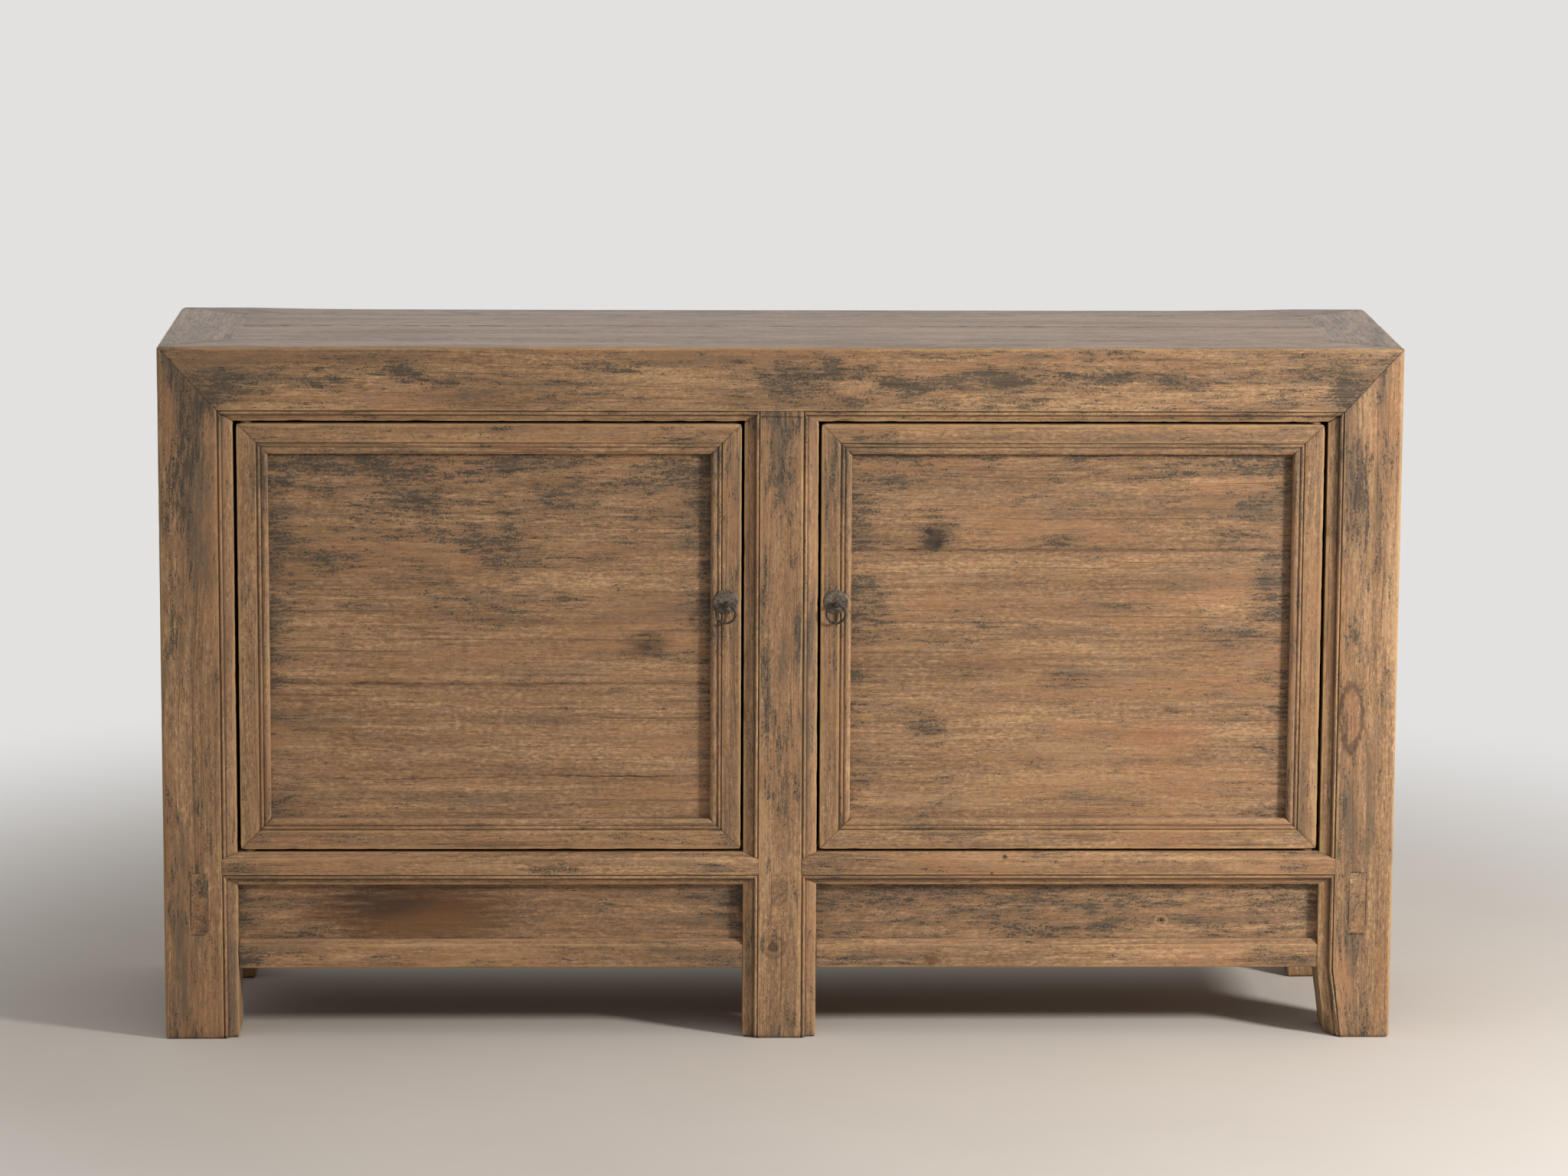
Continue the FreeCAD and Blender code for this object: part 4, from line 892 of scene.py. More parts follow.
MARKS = {
    "front_left_post": tenon_lines(-1),
    "left_door_lower_board": [
        ("split", -0.21, 0.346, 0.14, 0.0012, HOLE, 0.85),
        ("split", -0.47, 0.343, 0.18, 0.0009, HOLE, 0.6)],
    "left_door_upper_board": [
        ("stain", -0.174, 0.517, 0.036, 0.022, KNOT, 0.45),
        ("knot", -0.178, 0.515, 0.012, 0.008, KNOT, 0.5)],
    "right_door_upper_board": [
        ("stain", 0.198, 0.659, 0.022, 0.024, KNOT, 0.35), ("knot", 0.199, 0.657, 0.013, 0.018, KNOT, 0.7),
        ("knot", 0.191, 0.669, 0.006, 0.007, HOLE, 0.7), ("knot", 0.203, 0.65, 0.007, 0.009, HOLE, 0.6)],
    "right_door_lower_board": [
        ("stain", 0.505, 0.395, 0.07, 0.03, RUDDY, 0.45), ("split", 0.5, 0.628, 0.14, 0.0008, STAIN, 0.7)],
    "front_apron_panel_left": [
        ("stain", -0.475, 0.165, 0.135, 0.046, STAIN, 0.95),
        ("stain", -0.52, 0.174, 0.07, 0.026, KNOT, 0.75),
        ("stain", -0.45, 0.148, 0.095, 0.022, AMBER, 0.4)],
    "front_apron_panel_right": [
        ("ring", 0.5, 0.153, 0.009, 0.008, PALE, 0.6), ("knot", 0.5, 0.153, 0.004, 0.004, HOLE, 0.9)],
    "front_apron_rail_right": [
        ("knot", 0.199, 0.102, 0.014, 0.008, STAIN, 0.7)],
    "front_lower_rail_right": [
        ("knot", 0.293, 0.243, 0.004, 0.003, HOLE, 0.9), ("knot", 0.276, 0.221, 0.003, 0.003, HOLE, 0.8)],
    "front_right_post": [
        ("ring", 0.741, 0.428, 0.018, 0.052, KNOT, 0.65),
        ("stain", 0.741, 0.428, 0.012, 0.042, RUDDY, 0.35), *tenon_lines(1)],
    "front_centre_post": [
        ("knot", -0.008, 0.123, 0.011, 0.011, KNOT, 0.75),
        ("ring", -0.008, 0.123, 0.018, 0.018, KNOT, 0.4)],
}
WOODS = {
    "post": dict(FRAME_TONE, load=-0.15, spread=1.2, haze=1.1),
    "top_rail": dict(FRAME_TONE, load=0.1),
    "rail": dict(FRAME_TONE, load=-0.25),
    "door": dict(FRAME_TONE, load=-0.3, shelter=0.4),
    "panel": dict(FRAME_TONE, load=-0.35, warmth=0.5, haze=0.6),
    "top": dict(FRAME_TONE, load=-0.2),
    "top_end": dict(FRAME_TONE, load=0.45),
    "apron": dict(FRAME_TONE, load=-0.1, warmth=0.2),
    "side": dict(FRAME_TONE, load=-0.4),
    "back": dict(FRAME_TONE, load=-0.4, warmth=0.3),
}
WOOD = {kind: wood(kind + "_wood_worn", tone) for kind, tone in WOODS.items()}
INSIDE_TONE = dict(FRAME_TONE, load=-0.2, warmth=0.3)
INSIDE_WOOD = {axis: wood("inside_wood_" + "xyz"[axis], INSIDE_TONE, axis) for axis in range(3)}
PLATE_IRON = iron("plate_iron", srgb(58, 50, 43), srgb(94, 82, 71), srgb(136, 122, 107))
RING_IRON = iron("ring_iron", srgb(30, 26, 22), srgb(46, 40, 35), srgb(84, 74, 64))


def finish(node, kind):
    """The wood of a kind, with the node's own marks if it has any."""
    return wood(node + "_wood", WOODS[kind], marks=MARKS[node]) if node in MARKS else WOOD[kind]


# Outlines, in distances along a face and into the wood

def crest(start, end):
    """The round of a bead, over a stretch of a face."""
    return [(start + (end - start) * step / BEAD_STEPS, QUIRK_DEPTH * (2 * step / BEAD_STEPS - 1) ** 2)
            for step in range(BEAD_STEPS + 1)]


def bead(edge, band):
    """Quirk, bead, step and slope on the last stretch of a face, up to the opening's edge."""
    flat = edge - band
    return [(flat, 0.0, QUIRK_ROUND), *crest(flat + QUIRK_WIDTH, flat + BEAD_WIDTH),
            (flat + BEAD_WIDTH, BEAD_STEP), (edge, RECESS, SMALL_ROUND)]


def door_moulding():
    """Quirk, bead and roll round the inner edge of a door's frame."""
    roll = []
    for step in range(1, BEAD_STEPS + 1):
        share = step / BEAD_STEPS
        bend = ((share - DOOR_ROLL_TOP) / (1 - DOOR_ROLL_TOP)) ** 2
        depth = DOOR_ROLL_CREST + (DOOR_EDGE_DEPTH - DOOR_ROLL_CREST) * bend
        roll.append((DOOR_BEAD_END + (DOOR_MEMBER - DOOR_BEAD_END) * share, depth))
    return [(DOOR_FLAT, 0.0, QUIRK_ROUND), *crest(DOOR_FLAT + QUIRK_WIDTH, DOOR_BEAD_END), *roll]


def flipped(corners):
    """The same corners with their two distances exchanged, the other way round."""
    return [(corner[1], corner[0], *corner[2:]) for corner in reversed(corners)]


def placed(corners, first, first_sign, second, second_sign):
    """Corners moved from distances to places along two axes."""
    return [(first + first_sign * corner[0], second + second_sign * corner[1], *corner[2:])
            for corner in corners]


def rectangle(low, high, radius):
    """The four corners of a rounded rectangle."""
    return [(low[0], low[1], radius), (high[0], low[1], radius),
            (high[0], high[1], radius), (low[0], high[1], radius)]


# Members, their ends and the bays between the posts

def mitred(low, high, inset):
    """The two ends of a stick, each drawn in by a function of the outline's points."""
    return lambda points: low + inset(points), lambda points: high - inset(points)


def member(node, kind, *places, **options):
    """A worn stick in a kind of wood, in place of a node."""
    piece(node, finish(node, kind), stick(node, *places, **options))


def bay(side):
    """The left and right ends of the bay between a front corner post and the centre post."""
    return sorted((SIDES[side] * -POST_INNER, SIDES[side] * CENTRE_HALF))


# The three-way mitre at the top corners: matching places across, deep and high

MITRE_ACROSS = (0.0, POST_WIDTH - POST_BAND, POST_WIDTH - POST_BAND + BEAD_WIDTH, POST_WIDTH)
MITRE_DEEP = (0.0, POST_DEPTH - POST_BAND, POST_DEPTH - POST_BAND + BEAD_WIDTH, POST_DEPTH)
MITRE_HIGH = (0.0, RAIL_HEIGHT - RAIL_BAND, RAIL_HEIGHT - RAIL_BAND + BEAD_WIDTH, RAIL_HEIGHT)

# Where the lower rails lap the posts' beads, and the centre post's head laps the top rail
LAP_LEVELS = (LOWER_BOTTOM, LOWER_BOTTOM + RAIL_BAND - BEAD_WIDTH, LOWER_BOTTOM + RAIL_BAND,
              LOWER_TOP - CHAMFER_HEIGHT, LOWER_TOP)
LAP_REACH = (0.0, POST_BAND - BEAD_WIDTH, POST_BAND, POST_BAND, 0.0)
HEAD_HALF = (CENTRE_HALF - POST_BAND, CENTRE_HALF - POST_BAND + BEAD_WIDTH, CENTRE_HALF)
HEAD_LEVEL = (OPENING_TOP + RAIL_BAND, OPENING_TOP + RAIL_BAND - BEAD_WIDTH, OPENING_TOP)
SINK = 0.003
LAP_MARGIN = 0.0012
FACE_MARGIN = 0.001
LAP_FACE = FRONT + RECESS + FACE_MARGIN / 2

# Spans where the rings lie closer: from, to and step
LAP_FINE = (LOWER_BOTTOM - ALONG, LOWER_TOP + ALONG, FINE)
HEAD_FINE = (-CENTRE_HALF - ALONG, CENTRE_HALF + ALONG, FINE)
HEAD_BEAD_FINE = (OPENING_TOP - QUIRK_DEPTH, OPENING_TOP + RAIL_BAND, FINEST)


def in_from_side(x):
    """Distance in from the nearer side of the case."""
    return -LEFT - np.abs(x)


def in_from_face(y):
    """Distance in from the front or the back of the case, whichever is nearer."""
    return np.minimum(y - FRONT, BACK - y)


def sunk(grid, hidden):
    """Draws a front face in where another member's lap hides it."""
    hidden = hidden & (grid[..., 1] < FRONT + RECESS + FACE_MARGIN)
    grid[..., 1] = np.where(hidden, np.maximum(grid[..., 1], FRONT + SINK), grid[..., 1])
    return grid


def sink_under_lap(grid, opening_edge):
    """Draws a post's moulding in where a lower rail's pointed end laps it."""
    gap = np.abs(np.abs(grid[..., 0]) - opening_edge)
    covered = np.interp(grid[..., 2], LAP_LEVELS, LAP_REACH, left=0.0, right=0.0) - LAP_MARGIN
    return sunk(grid, gap < covered)


# Posts

FOOT_REACH = 0.03
FOOT_BEVEL = 0.03
FOOT_BEVEL_HIGH = 0.05


def worn_foot(grid):
    """The right post's foot: its inner edge slopes in to the floor, and its bead wears away to a bevel."""
    gap = grid[..., 0] + POST_INNER
    low = np.clip(1 - grid[..., 2] / APRON_BOTTOM, 0, 1)
    slope = FOOT_TAPER * low * np.clip(1 - (gap - POST_BAND) / FOOT_REACH, 0, 1)
    worn = np.clip(1 - grid[..., 2] / FOOT_BEVEL_HIGH, 0, 1) * np.clip(1 - gap / POST_BAND, 0, 1)
    bevelled = FRONT + FOOT_BEVEL * worn
    grid[..., 1] = np.maximum(grid[..., 1], bevelled)
    grid[..., 0] += slope
    return grid


def corner_post(end, side):
    """A corner post: a bead on its outer side, one on the front if it is a front post, and a mitred head."""
    node = f"{end}_{side}_post"
    sign = SIDES[side]
    front = end == "front"
    face = bead(POST_WIDTH, POST_BAND) if front else [(POST_WIDTH, 0.0, ARRIS)]
    local = [(0.0, 0.0, SOFT_ARRIS), *face, (POST_WIDTH, POST_DEPTH, ARRIS),
             *flipped(bead(POST_DEPTH, POST_BAND))]
    corners = placed(local, sign * -LEFT, -sign, FRONT if front else BACK, 1 if front else -1)

    def head(points):
        across = np.interp(in_from_side(points[:, 0]), MITRE_ACROSS, MITRE_HIGH)
        deep = np.interp(in_from_face(points[:, 1]), MITRE_DEEP, MITRE_HIGH)
        return TOP - np.maximum(across, deep)

    def reshape(grid):
        if not front:
            return rear_corners(grid)
        grid = sink_under_lap(grid, -POST_INNER)
        return worn_foot(grid) if side == "right" else grid

    member(node, "post", 2, corners, FLOOR, head, (FOOT_ROUND, JOINT_ROUND), blotches(node), reshape,
           [LAP_FINE] if front else ())


def centre_post():
    """The middle post, with a bead on both edges and a head that laps the top rail's bead."""
    node = "front_centre_post"
    half = bead(CENTRE_HALF, POST_BAND)
    right = placed(half, 0, 1, FRONT, 1)
    left = placed(half, 0, -1, FRONT, 1)[::-1]
    corners = [*left, *right, (CENTRE_HALF, CENTRE_REAR, ARRIS), (-CENTRE_HALF, CENTRE_REAR, ARRIS)]

    def head(points):
        lapped = np.interp(np.abs(points[:, 0]), HEAD_HALF, HEAD_LEVEL)
        return np.where(points[:, 1] < LAP_FACE, lapped, OPENING_TOP)

    def reshape(grid):
        grid = sink_under_lap(grid, CENTRE_HALF)
        below = HEAD_LEVEL[0] - HEAD_ROUND - grid[..., 2]
        chord = BEAD_WIDTH - QUIRK_WIDTH
        groove = QUIRK_DEPTH * np.clip(1 - np.abs(below - chord) / QUIRK_WIDTH, 0, 1)
        flat = (np.abs(grid[..., 0]) < HEAD_HALF[0]) & (grid[..., 1] < FRONT + RECESS)
        grid[..., 1] = np.where(flat, grid[..., 1] + groove, grid[..., 1])
        return grid

    member(node, "post", 2, corners, FLOOR, head, (FOOT_ROUND, HEAD_ROUND), blotches(node), reshape,
           [LAP_FINE, HEAD_BEAD_FINE])


# Top frame and boards

def long_top_rail(end):
    """The front or rear rail of the top frame, mitred into the posts and side rails."""
    node = f"{end}_top_rail"
    front = end == "front"
    lower = bead(RAIL_HEIGHT, RAIL_BAND) if front else [(RAIL_HEIGHT, 0.0, ARRIS)]
    local = [(0.0, 0.0, TOP_ARRIS), *lower, (RAIL_HEIGHT, POST_DEPTH, ARRIS), (0.0, POST_DEPTH, SMALL_ROUND)]
    corners = placed(flipped(local), FRONT if front else BACK, 1 if front else -1, TOP, -1)

    def inset(points):
        high = np.interp(TOP - points[:, 1], MITRE_HIGH, MITRE_ACROSS)
        deep = np.interp(in_from_face(points[:, 0]), MITRE_DEEP, MITRE_ACROSS)
        return np.maximum(high, deep)

    def reshape(grid):
        if not front:
            return rear_corners(worn_rear(grid))
        under = np.interp(np.abs(grid[..., 0]), HEAD_HALF, HEAD_LEVEL, right=0.0) - LAP_MARGIN
        return sunk(grid, grid[..., 2] < under)

    member(node, "top_rail" if front else "top_end", 0, corners, *mitred(LEFT, -LEFT, inset),
           soil=blotches(node), reshape=reshape, fine_spans=[HEAD_FINE] if front else ())


REAR_WEAR = 0.0025
REAR_WEAR_DEPTH = 0.16
REAR_WEAR_HIGH = 0.02
REAR_WEAR_FALL = 8
REAR_CORNER_ACROSS = 0.011
REAR_CORNER_DEEP = 0.034
REAR_CORNER_HIGH = 0.12


def worn_rear(grid):
    """The back of the top, worn lower between its corners."""
    span = np.clip(1 - (np.abs(grid[..., 0]) / -POST_INNER) ** REAR_WEAR_FALL, 0, 1)
    back = np.clip(1 - (BACK - grid[..., 1]) / REAR_WEAR_DEPTH, 0, 1)
    high = np.clip((grid[..., 2] - (TOP - REAR_WEAR_HIGH)) / REAR_WEAR_HIGH, 0, 1)
    grid[..., 2] -= REAR_WEAR * span * back * high
    return grid


def rear_corners(grid):
    """The top's rear corners, worn round in plan."""
    reach = np.array([REAR_CORNER_ACROSS, REAR_CORNER_DEEP])
    corner = np.array([-LEFT, BACK]) - reach
    beyond = np.stack([np.abs(grid[..., 0]), grid[..., 1]], axis=-1) - corner
    inside = np.all(beyond > 0, axis=-1)
    length = np.linalg.norm(beyond / reach, axis=-1)
    high = np.clip(1 - (TOP - grid[..., 2]) / REAR_CORNER_HIGH, 0, 1)
    share = np.where(inside & (length > 1), 1 - high * (1 - 1 / np.maximum(length, 1)), 1.0)
    drawn = corner + beyond * share[..., None]
    grid[..., 0] = np.where(inside, np.sign(grid[..., 0]) * drawn[..., 0], grid[..., 0])
    grid[..., 1] = np.where(inside, drawn[..., 1], grid[..., 1])
    return grid


def side_top_rail(side):
    """A side rail of the top frame."""
    node = f"{side}_top_rail"
    sign = SIDES[side]
    local = [(0.0, 0.0, SOFT_ARRIS), *bead(RAIL_HEIGHT, RAIL_BAND), (RAIL_HEIGHT, POST_WIDTH, ARRIS),
             (0.0, POST_WIDTH, SMALL_ROUND)]
    corners = placed(flipped(local), sign * -LEFT, -sign, TOP, -1)

    def inset(points):
        high = np.interp(TOP - points[:, 1], MITRE_HIGH, MITRE_DEEP)
        across = np.interp(in_from_side(points[:, 0]), MITRE_ACROSS, MITRE_DEEP)
        return np.maximum(high, across)

    member(node, "top_end", 1, corners, *mitred(FRONT, BACK, inset), reshape=rear_corners)


def board(node, run, material, radius=SEAM_ROUND, seam=None, **options):
    """A board or panel that fills its node's box, and reaches over the seam beside it: an axis and a side."""
    low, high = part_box(node)
    if seam:
        axis, upper = seam
        (high if upper else low)[axis] += SEAM_OVERLAP if upper else -SEAM_OVERLAP
    others = [axis for axis in range(3) if axis != run]
    corners = rectangle([low[axis] for axis in others], [high[axis] for axis in others], radius)
    sheet = stick(node, run, corners, low[run], high[run], **options)
    sheet.recess = sheet.edge * SEAM_DIRT
    sheet.edge = np.zeros_like(sheet.edge)
    piece(node, material, sheet)


# Lower rails and apron

def front_lower_rail(side):
    """A rail under a door, chamfered above, beaded below, with pointed ends that lap the posts."""
    node = f"front_lower_rail_{side}"
    height = LOWER_TOP - LOWER_BOTTOM
    local = [(0.0, RECESS, SMALL_ROUND), (CHAMFER_HEIGHT, 0.0, CHAMFER_ROUND), *bead(height, RAIL_BAND),
             (height, LOWER_REAR - FRONT, ARRIS), (0.0, LOWER_REAR - FRONT, ARRIS)]
    corners = placed(flipped(local), FRONT, 1, LOWER_TOP, -1)

    def inset(points):
        lapped = np.interp(points[:, 1], LAP_LEVELS, LAP_REACH)
        return -np.where(points[:, 0] < LAP_FACE, lapped, 0.0)

    member(node, "rail", 0, corners, *mitred(*bay(side), inset), soil=blotches(node))


def side_lower_rail(side):
    """The broad rail under a side panel, with the through tenons that show on the posts' front faces."""
    node = f"{side}_lower_rail"
    sign = SIDES[side]
    height = LOWER_TOP - SIDE_RAIL_BOTTOM
    thick = SIDE_RAIL_INNER - LEFT
    local = [(0.0, RECESS, SMALL_ROUND), (CHAMFER_HEIGHT, 0.0, CHAMFER_ROUND), (height, 0.0, ARRIS),
             (height, thick, ARRIS), (0.0, thick, ARRIS)]
    corners = placed(flipped(local), sign * -LEFT, -sign, LOWER_TOP, -1)
    rail = stick(node, 1, corners, POST_REAR, -POST_REAR)
    near, far = sorted((sign * (-LEFT - TENON_INSET), sign * (-LEFT - TENON_INSET - TENON_WIDTH)))
    corners = rectangle((near, TENON_LOW), (far, TENON_HIGH), SMALL_ROUND)
    tenon = stick(node, 1, corners, FRONT, POST_REAR, wear=0.0)
    tenon.edge[:] = 0.0
    tenon.recess[:] = 0.0
    tenon.dirt[:] = TENON_DIRT
    piece(node, WOOD["rail"], rail, tenon)


def plain_rail(node, run, start, end, low, high):
    """A plain rail or stile with eased edges."""
    member(node, "rail", run, rectangle(low, high, ARRIS), start, end)


def apron_rail(side):
    """The low rail under an apron panel, with a bevelled upper edge."""
    node = f"front_apron_rail_{side}"
    corners = [(APRON_FRONT, APRON_BOTTOM, SOFT_ARRIS), (APRON_REAR, APRON_BOTTOM, ARRIS),
               (APRON_REAR, APRON_TOP, ARRIS), (APRON_FRONT + APRON_BEVEL, APRON_TOP, SMALL_ROUND),
               (APRON_FRONT, APRON_TOP - APRON_BEVEL, CHAMFER_ROUND)]
    member(node, "rail", 0, corners, *bay(side), soil=blotches(node))


def apron_panel(side):
    """The sunk panel between a lower rail and its apron rail."""
    node = f"front_apron_panel_{side}"
    left, right = bay(side)
    # Soil along the panel's borders, partly painted shade from the frame
    soil = soiled_and_shaded_borders((left, APRON_TOP), (right, LOWER_BOTTOM), APRON_SOIL_REACH, APRON_BORDER_SOIL_AND_SHADE, blotches(node))
    board(node, 0, finish(node, "apron"), soil=soil)


# Doors

def door_member(side, which):
    """One mitred member of a door's frame, with its moulding on the inner edge."""
    node = f"{side}_door_{which}"
    sign = SIDES[side]
    thick = DOOR_REAR - DOOR_FRONT
    hinged = which == "hinge_stile"
    upright = which.endswith("stile")
    outer_front, outer_rear = HINGE_ROUNDS if hinged else DOOR_ROUNDS
    local = [(0.0, 0.0, outer_front), *door_moulding(), (DOOR_MEMBER, thick, SMALL_ROUND),
             (0.0, thick, outer_rear)]
    left, right = sorted((sign * -DOOR_OUTER, sign * -DOOR_INNER))
    if upright:
        ends = (DOOR_BOTTOM, DOOR_TOP)
        edge, inward = (sign * -DOOR_OUTER, -sign) if hinged else (sign * -DOOR_INNER, sign)
        corners = placed(local, edge, inward, DOOR_FRONT, 1)
    else:
        ends = (left, right)
        edge, inward = (DOOR_TOP, -1) if which == "top_rail" else (DOOR_BOTTOM, 1)
        corners = placed(flipped(local), DOOR_FRONT, 1, edge, inward)

    def inset(points):
        return np.abs(points[:, 0 if upright else 1] - edge)

    def reshape(grid):
        middle = np.array([(left + right) / 2, (DOOR_BOTTOM + DOOR_TOP) / 2])
        half = np.array([(right - left) / 2, (DOOR_TOP - DOOR_BOTTOM) / 2]) - DOOR_CORNER
        offset = grid[..., [0, 2]] - middle
        beyond = np.maximum(np.abs(offset) - half, 0)
        share = DOOR_CORNER / np.maximum(np.linalg.norm(beyond, axis=-1), DOOR_CORNER)
        drawn = np.where(beyond > 0, half + beyond * share[..., None], np.abs(offset))
        grid[..., [0, 2]] = middle + np.sign(offset) * drawn
        return grid

    sheets = [stick(node, 2 if upright else 0, corners, *mitred(*ends, inset), soil=blotches(node),
                    reshape=reshape, wear=DOOR_WEAR)]
    if hinged:
        sheets += pivots(node)
    piece(node, WOOD["door"], *sheets)


def pivots(node):
    """The round wooden pivots at both ends of a hinge stile."""
    x, y = joint_place(NODE_BODY[node])[:2]
    low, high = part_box(node)
    circle = round_outline(x, y, PIVOT_RADIUS, PIVOT_SIDES)
    turned = [stick(node, 2, circle, low.z, DOOR_BOTTOM + DOOR_MEMBER / 2, wear=PIVOT_WEAR),
              stick(node, 2, circle, DOOR_TOP - DOOR_MEMBER / 2, high.z, wear=PIVOT_WEAR)]
    for pivot in turned:
        pivot.recess[:] = 1.0
    return turned


def door_board(side, which):
    """A panel board of a door, soiled and painted with shade along the frame."""
    sign = SIDES[side]
    node = f"{side}_door_{which}_board"
    left, right = sorted((sign * (-DOOR_OUTER - DOOR_MEMBER), sign * (-DOOR_INNER + DOOR_MEMBER)))
    low, high = (left, DOOR_BOTTOM + DOOR_MEMBER), (right, DOOR_TOP - DOOR_MEMBER)
    # Soil along the panel's borders, partly painted shade from the frame
    soil = soiled_and_shaded_borders(low, high, DOOR_SOIL_REACH, DOOR_BORDER_SOIL_AND_SHADE, blotches(node, f"{side}_door_panel"))
    board(node, 0, finish(node, "panel"), seam=(2, which == "lower"), soil=soil)


# Pulls

PLATE_EASE = 0.0005
PLATE_HOLE = 0.0006
PLATE_LIP = 0.0007
PLATE_SEGMENTS = 72
PLATE_UNEVEN = 0.0003
DOME_TOP, DOME_SHOULDER, DOME_FOOT, DOME_END = 0.004, 0.008, 0.0115, 0.013
RING_EASE = 0.0002
RING_SIDES = 14
RING_SEGMENTS = 96
RING_UNEVEN = 0.00018
EYE_OUTER = 0.0040
EYE_HOLE = 0.0027
EYE_HALF = 0.0025
EYE_CORNER = 0.0004
EYE_INNER_ROUND, EYE_OUTER_ROUND = 0.0005, 0.0006
EYE_SEGMENTS = 40
EYE_UNEVEN = 0.00012
SHANK_WIDE, SHANK_HIGH = 0.0022, 0.0016
SHANK_ROUND = 0.0006
SHANK_START, SHANK_END = 0.0006, 0.0004
CLINCH_HALF = 0.0018
CLINCH_ROUND = 0.0005
PIN_WEAR = 0.1
PIN_SPACING = 0.002


def pull_plate(side):
    """A round plate, domed in the middle, with a thin uneven rim."""
    low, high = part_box(f"{side}_pull_plate")
    radius = (high.x - low.x) / 2 - PLATE_EASE
    dome = low.y - high.y
    profile = [(PLATE_HOLE, 0.0), (PLATE_HOLE, dome + 0.0003), (DOME_TOP, dome + 0.0002),
               (DOME_SHOULDER, dome + 0.0005), (DOME_FOOT, -PLATE_LIP - 0.0003), (DOME_END, -PLATE_LIP),
               (radius - 0.0012, -PLATE_LIP - 0.0002), (radius - 0.0003, -PLATE_LIP + 0.0001),
               (radius, -0.0003), (radius - 0.0004, 0.0)]
    centre = (joint_place(f"{side}_ring")[0], DOOR_FRONT, (low.z + high.z) / 2)
    plate = ring_sheet(profile[::-1], centre, 1, PLATE_SEGMENTS, PLATE_UNEVEN, SIDES[side])
    piece(f"{side}_pull_plate", PLATE_IRON, plate)


def pull_ring(side):
    """A ring of round wire that hangs in the eye."""
    low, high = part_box(f"{side}_pull_ring")
    mean = (high.x - low.x - (high.y - low.y)) / 2
    wire = (high.y - low.y) / 2 - RING_EASE
    circle = round_outline(mean, 0.0, wire, RING_SIDES)
    ring = ring_sheet(circle[::-1], np.add(low, high) / 2, 1, RING_SEGMENTS, RING_UNEVEN, 3 + SIDES[side])
    piece(f"{side}_pull_ring", RING_IRON, ring)


def pull_pin(side):
    """A split pin: its eye, its shank through the stile and its clinched end."""
    node = f"{side}_pull_pin"
    low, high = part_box(f"{side}_pull_pin")
    eye = joint_place(f"{side}_ring")
    x, y, z = eye
    upper = [(EYE_HOLE, EYE_HALF - EYE_INNER_ROUND), (EYE_HOLE + EYE_CORNER, EYE_HALF),
             (EYE_OUTER - EYE_CORNER, EYE_HALF), (EYE_OUTER, EYE_HALF - EYE_OUTER_ROUND)]
    lower = [(radius, -height) for radius, height in upper]
    strap = [lower[0], *upper, *reversed(lower[1:])]
    loop = ring_sheet(strap, eye, 0, EYE_SEGMENTS, EYE_UNEVEN, 9 + SIDES[side])
    corners = rectangle((x - SHANK_WIDE, z - SHANK_HIGH), (x + SHANK_WIDE, z + SHANK_HIGH), SHANK_ROUND)
    shank = stick(node, 1, corners, y + EYE_HOLE + SHANK_START, high.y - SHANK_END, wear=PIN_WEAR,
                  spacing=PIN_SPACING)
    corners = rectangle((DOOR_REAR, z - CLINCH_HALF), (high.y, z + CLINCH_HALF), CLINCH_ROUND)
    clinch = stick(node, 0, corners, low.x, high.x, wear=PIN_WEAR, spacing=PIN_SPACING)
    piece(node, RING_IRON, loop, shank, clinch)


# Kept nodes of the frame, inside and underneath, with eased edges

KEPT_WELD = 0.00002
KEPT_EASE = 0.0012
KEPT_EASE_STEPS = 2
KEPT_EASE_ANGLE = math.radians(40)


def kept(node, axis):
    """A node that stays, with its grain along an axis."""
    obj = frame["nodes"][node]
    obj.data.materials.clear()
    obj.data.materials.append(INSIDE_WOOD[axis])
    weld = obj.modifiers.new("weld", "WELD")
    weld.merge_threshold = KEPT_WELD
    ease = obj.modifiers.new("ease", "BEVEL")
    ease.width = KEPT_EASE
    ease.segments = KEPT_EASE_STEPS
    ease.limit_method = "ANGLE"
    ease.angle_limit = KEPT_EASE_ANGLE


for end in ("front", "rear"):
    long_top_rail(end)
    for side in SIDES:
        corner_post(end, side)
centre_post()
board("top_board_front", 0, WOOD["top"], seam=(1, True))
board("top_board_rear", 0, WOOD["top"], seam=(1, False), reshape=worn_rear)
for side in SIDES:
    side_top_rail(side)
    front_lower_rail(side)
    side_lower_rail(side)
    apron_rail(side)
    apron_panel(side)
    board(f"{side}_side_panel", 2, WOOD["side"])
    board(f"back_board_{side}_upper", 0, WOOD["back"], seam=(2, False))
    board(f"back_board_{side}_lower", 0, WOOD["back"], seam=(2, True))
    for which in ("hinge_stile", "latch_stile", "top_rail", "bottom_rail"):
        door_member(side, which)
    door_board(side, "upper")
    door_board(side, "lower")
    pull_plate(side)
    pull_ring(side)
    pull_pin(side)
    kept(f"{side}_door_batten", 2)
    kept(f"top_batten_{side}", 1)
stile_low, stile_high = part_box("rear_centre_stile")
plain_rail("rear_centre_stile", 2, LOWER_TOP, OPENING_TOP, stile_low.xy, stile_high.xy)
rear_low, rear_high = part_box("rear_lower_rail")
plain_rail("rear_lower_rail", 0, POST_INNER, -POST_INNER, rear_low.yz, rear_high.yz)
for node in ("floor_board_front", "floor_board_middle", "floor_board_rear"):
    kept(node, 0)
kept("floor_bearer", 1)


# Stage, light and camera

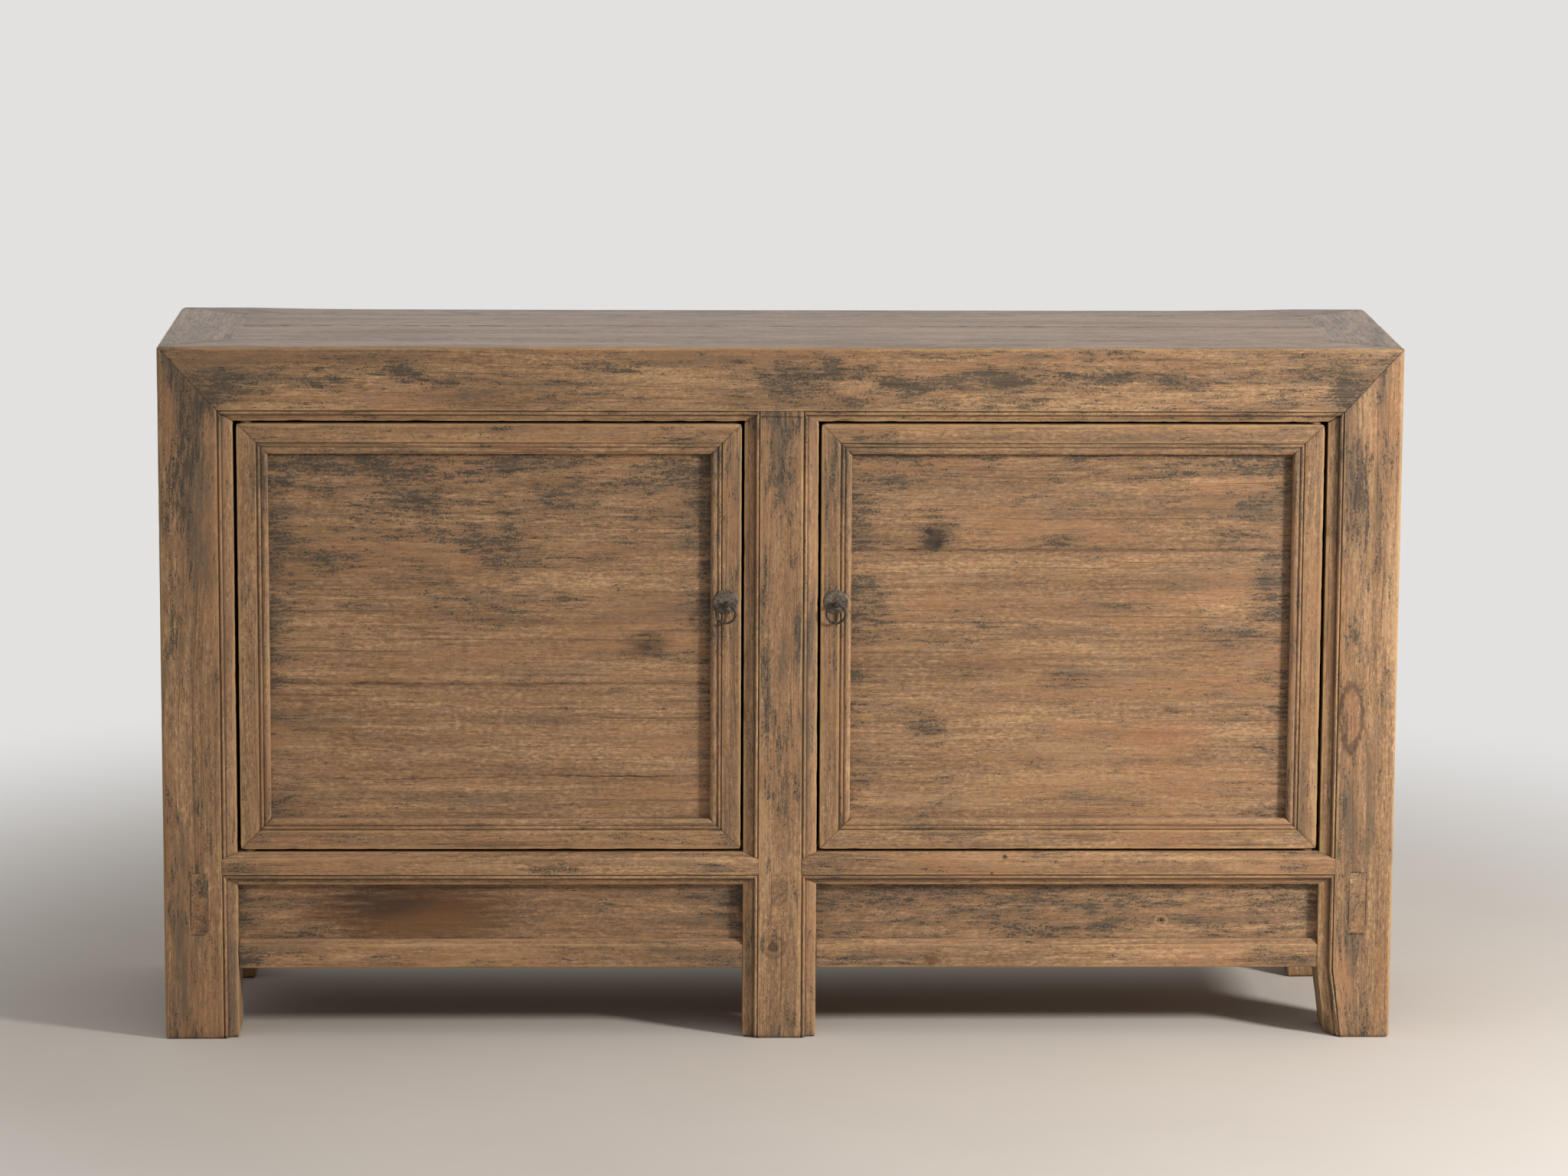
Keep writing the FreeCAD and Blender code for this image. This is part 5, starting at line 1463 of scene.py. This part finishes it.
FLOOR_SIZE = 60.0
FLOOR_NEAR = 0.9
FLOOR_FAR = 2.3
FLOOR_COLOUR = srgb(208, 201, 193)
FLOOR_PALE = srgb(213, 206, 198)
FLOOR_CLOUD = (1.3, 4.0, 0.6)
FLOOR_CLOUD_LEVELS = (0.3, 0.7)
FLOOR_ROUGHNESS = 0.9
BACKGROUND = srgb(226, 225, 224)
KEY_PLACE = (2.74, -1.9, 1.6)
KEY_AIM = (0.0, -0.2, 0.45)
KEY_SIZE = 0.55
KEY_POWER = 105.0
KEY_COLOUR = (1.0, 0.97, 0.93)
FILL_COLOUR = (1.0, 0.99, 0.98, 1.0)
FILL_LOW, FILL_HIGH = 0.0, 0.64
FILL_RISE = (0.0, 0.75)
FILL_BEHIND = 0.3
CAMERA_PLACE = (-0.184, -7.40, 1.84)
CAMERA_YAW = math.radians(-1.495)
CAMERA_PITCH = math.radians(80.2)
CAMERA_ROLL = math.radians(0.287)
CAMERA_LENS = 129.97
CAMERA_SENSOR = 36.0


def seen_rays(graph):
    """1 for what the camera, reflections and clear things see, 0 for what lights the object."""
    light = graph.node("LightPath").outputs
    seen = graph.math("MAXIMUM", light["Is Camera Ray"], light["Is Glossy Ray"])
    return graph.math("MAXIMUM", seen, light["Is Transmission Ray"])


def floor():
    """A plain pale floor that turns to the background's colour away from the object."""
    half = FLOOR_SIZE / 2
    mesh = bpy.data.meshes.new("floor")
    corners = [(-half, -half, 0), (half, -half, 0), (half, half, 0), (-half, half, 0)]
    mesh.from_pydata(corners, [], [(0, 1, 2, 3)])
    material, graph = new_material("floor_pale")
    place = graph.node("TexCoord").outputs["Object"]
    cloud = graph.noise(place, *FLOOR_CLOUD)
    colour = graph.mix(graph.span(cloud, *FLOOR_CLOUD_LEVELS), FLOOR_COLOUR, FLOOR_PALE)
    shader = graph.node("BsdfPrincipled", {"Base Color": colour, "Roughness": FLOOR_ROUGHNESS,
                                           "Specular IOR Level": 0.0})
    away = graph.node("VectorMath", {0: place}, operation="LENGTH").outputs["Value"]
    away = graph.math("MULTIPLY", graph.span(away, FLOOR_NEAR, FLOOR_FAR), seen_rays(graph))
    pale = graph.node("Emission", {"Color": BACKGROUND, "Strength": 1.0})
    graph.surface(graph.node("MixShader", {0: away, 1: shader.outputs[0], 2: pale.outputs[0]}))
    mesh.materials.append(material)
    made = bpy.data.objects.new("floor", mesh)
    bpy.context.scene.collection.objects.link(made)


def world():
    """Fill light from above, with a pale background for what the camera and reflections see."""
    made = bpy.data.worlds.new("studio")
    made.use_nodes = True
    graph = Graph(made.node_tree)
    direction = graph.node("SeparateXYZ", {0: graph.node("TexCoord").outputs["Generated"]}).outputs
    behind = graph.math("MAXIMUM", direction[1], 0.0)
    height = graph.math("MULTIPLY_ADD", behind, -FILL_BEHIND, direction[2])
    level = graph.span(height, *FILL_RISE, FILL_LOW, FILL_HIGH)
    fill = graph.node("Background", {"Color": FILL_COLOUR, "Strength": level})
    pale = graph.node("Background", {"Color": BACKGROUND, "Strength": 1.0})
    both = graph.node("MixShader", {0: seen_rays(graph), 1: fill.outputs[0], 2: pale.outputs[0]})
    graph.surface(both, "OutputWorld")
    bpy.context.scene.world = made


def key_light():
    """One soft light from the right, in front."""
    data = bpy.data.lights.new("key", "AREA")
    data.shape = "DISK"
    data.size = KEY_SIZE
    data.energy = KEY_POWER
    data.color = KEY_COLOUR
    made = bpy.data.objects.new("key", data)
    made.location = KEY_PLACE
    aim = np.array(KEY_AIM) - np.array(KEY_PLACE)
    flat = math.hypot(aim[0], aim[1])
    made.rotation_euler = (math.atan2(flat, -aim[2]), 0.0, math.atan2(-aim[0], aim[1]))
    made.visible_camera = False
    bpy.context.scene.collection.objects.link(made)


def camera():
    """The camera at the photograph's place and angle."""
    data = bpy.data.cameras.new("camera")
    data.lens = CAMERA_LENS
    data.sensor_width = CAMERA_SENSOR
    data.sensor_fit = "HORIZONTAL"
    made = bpy.data.objects.new("camera", data)
    made.matrix_world = (Matrix.Translation(CAMERA_PLACE) @ Matrix.Rotation(CAMERA_YAW, 4, "Z")
                         @ Matrix.Rotation(CAMERA_PITCH, 4, "X") @ Matrix.Rotation(CAMERA_ROLL, 4, "Z"))
    bpy.context.scene.collection.objects.link(made)
    bpy.context.scene.camera = made


floor()
world()
key_light()
camera()
bpy.context.scene.view_settings.view_transform = "Standard"
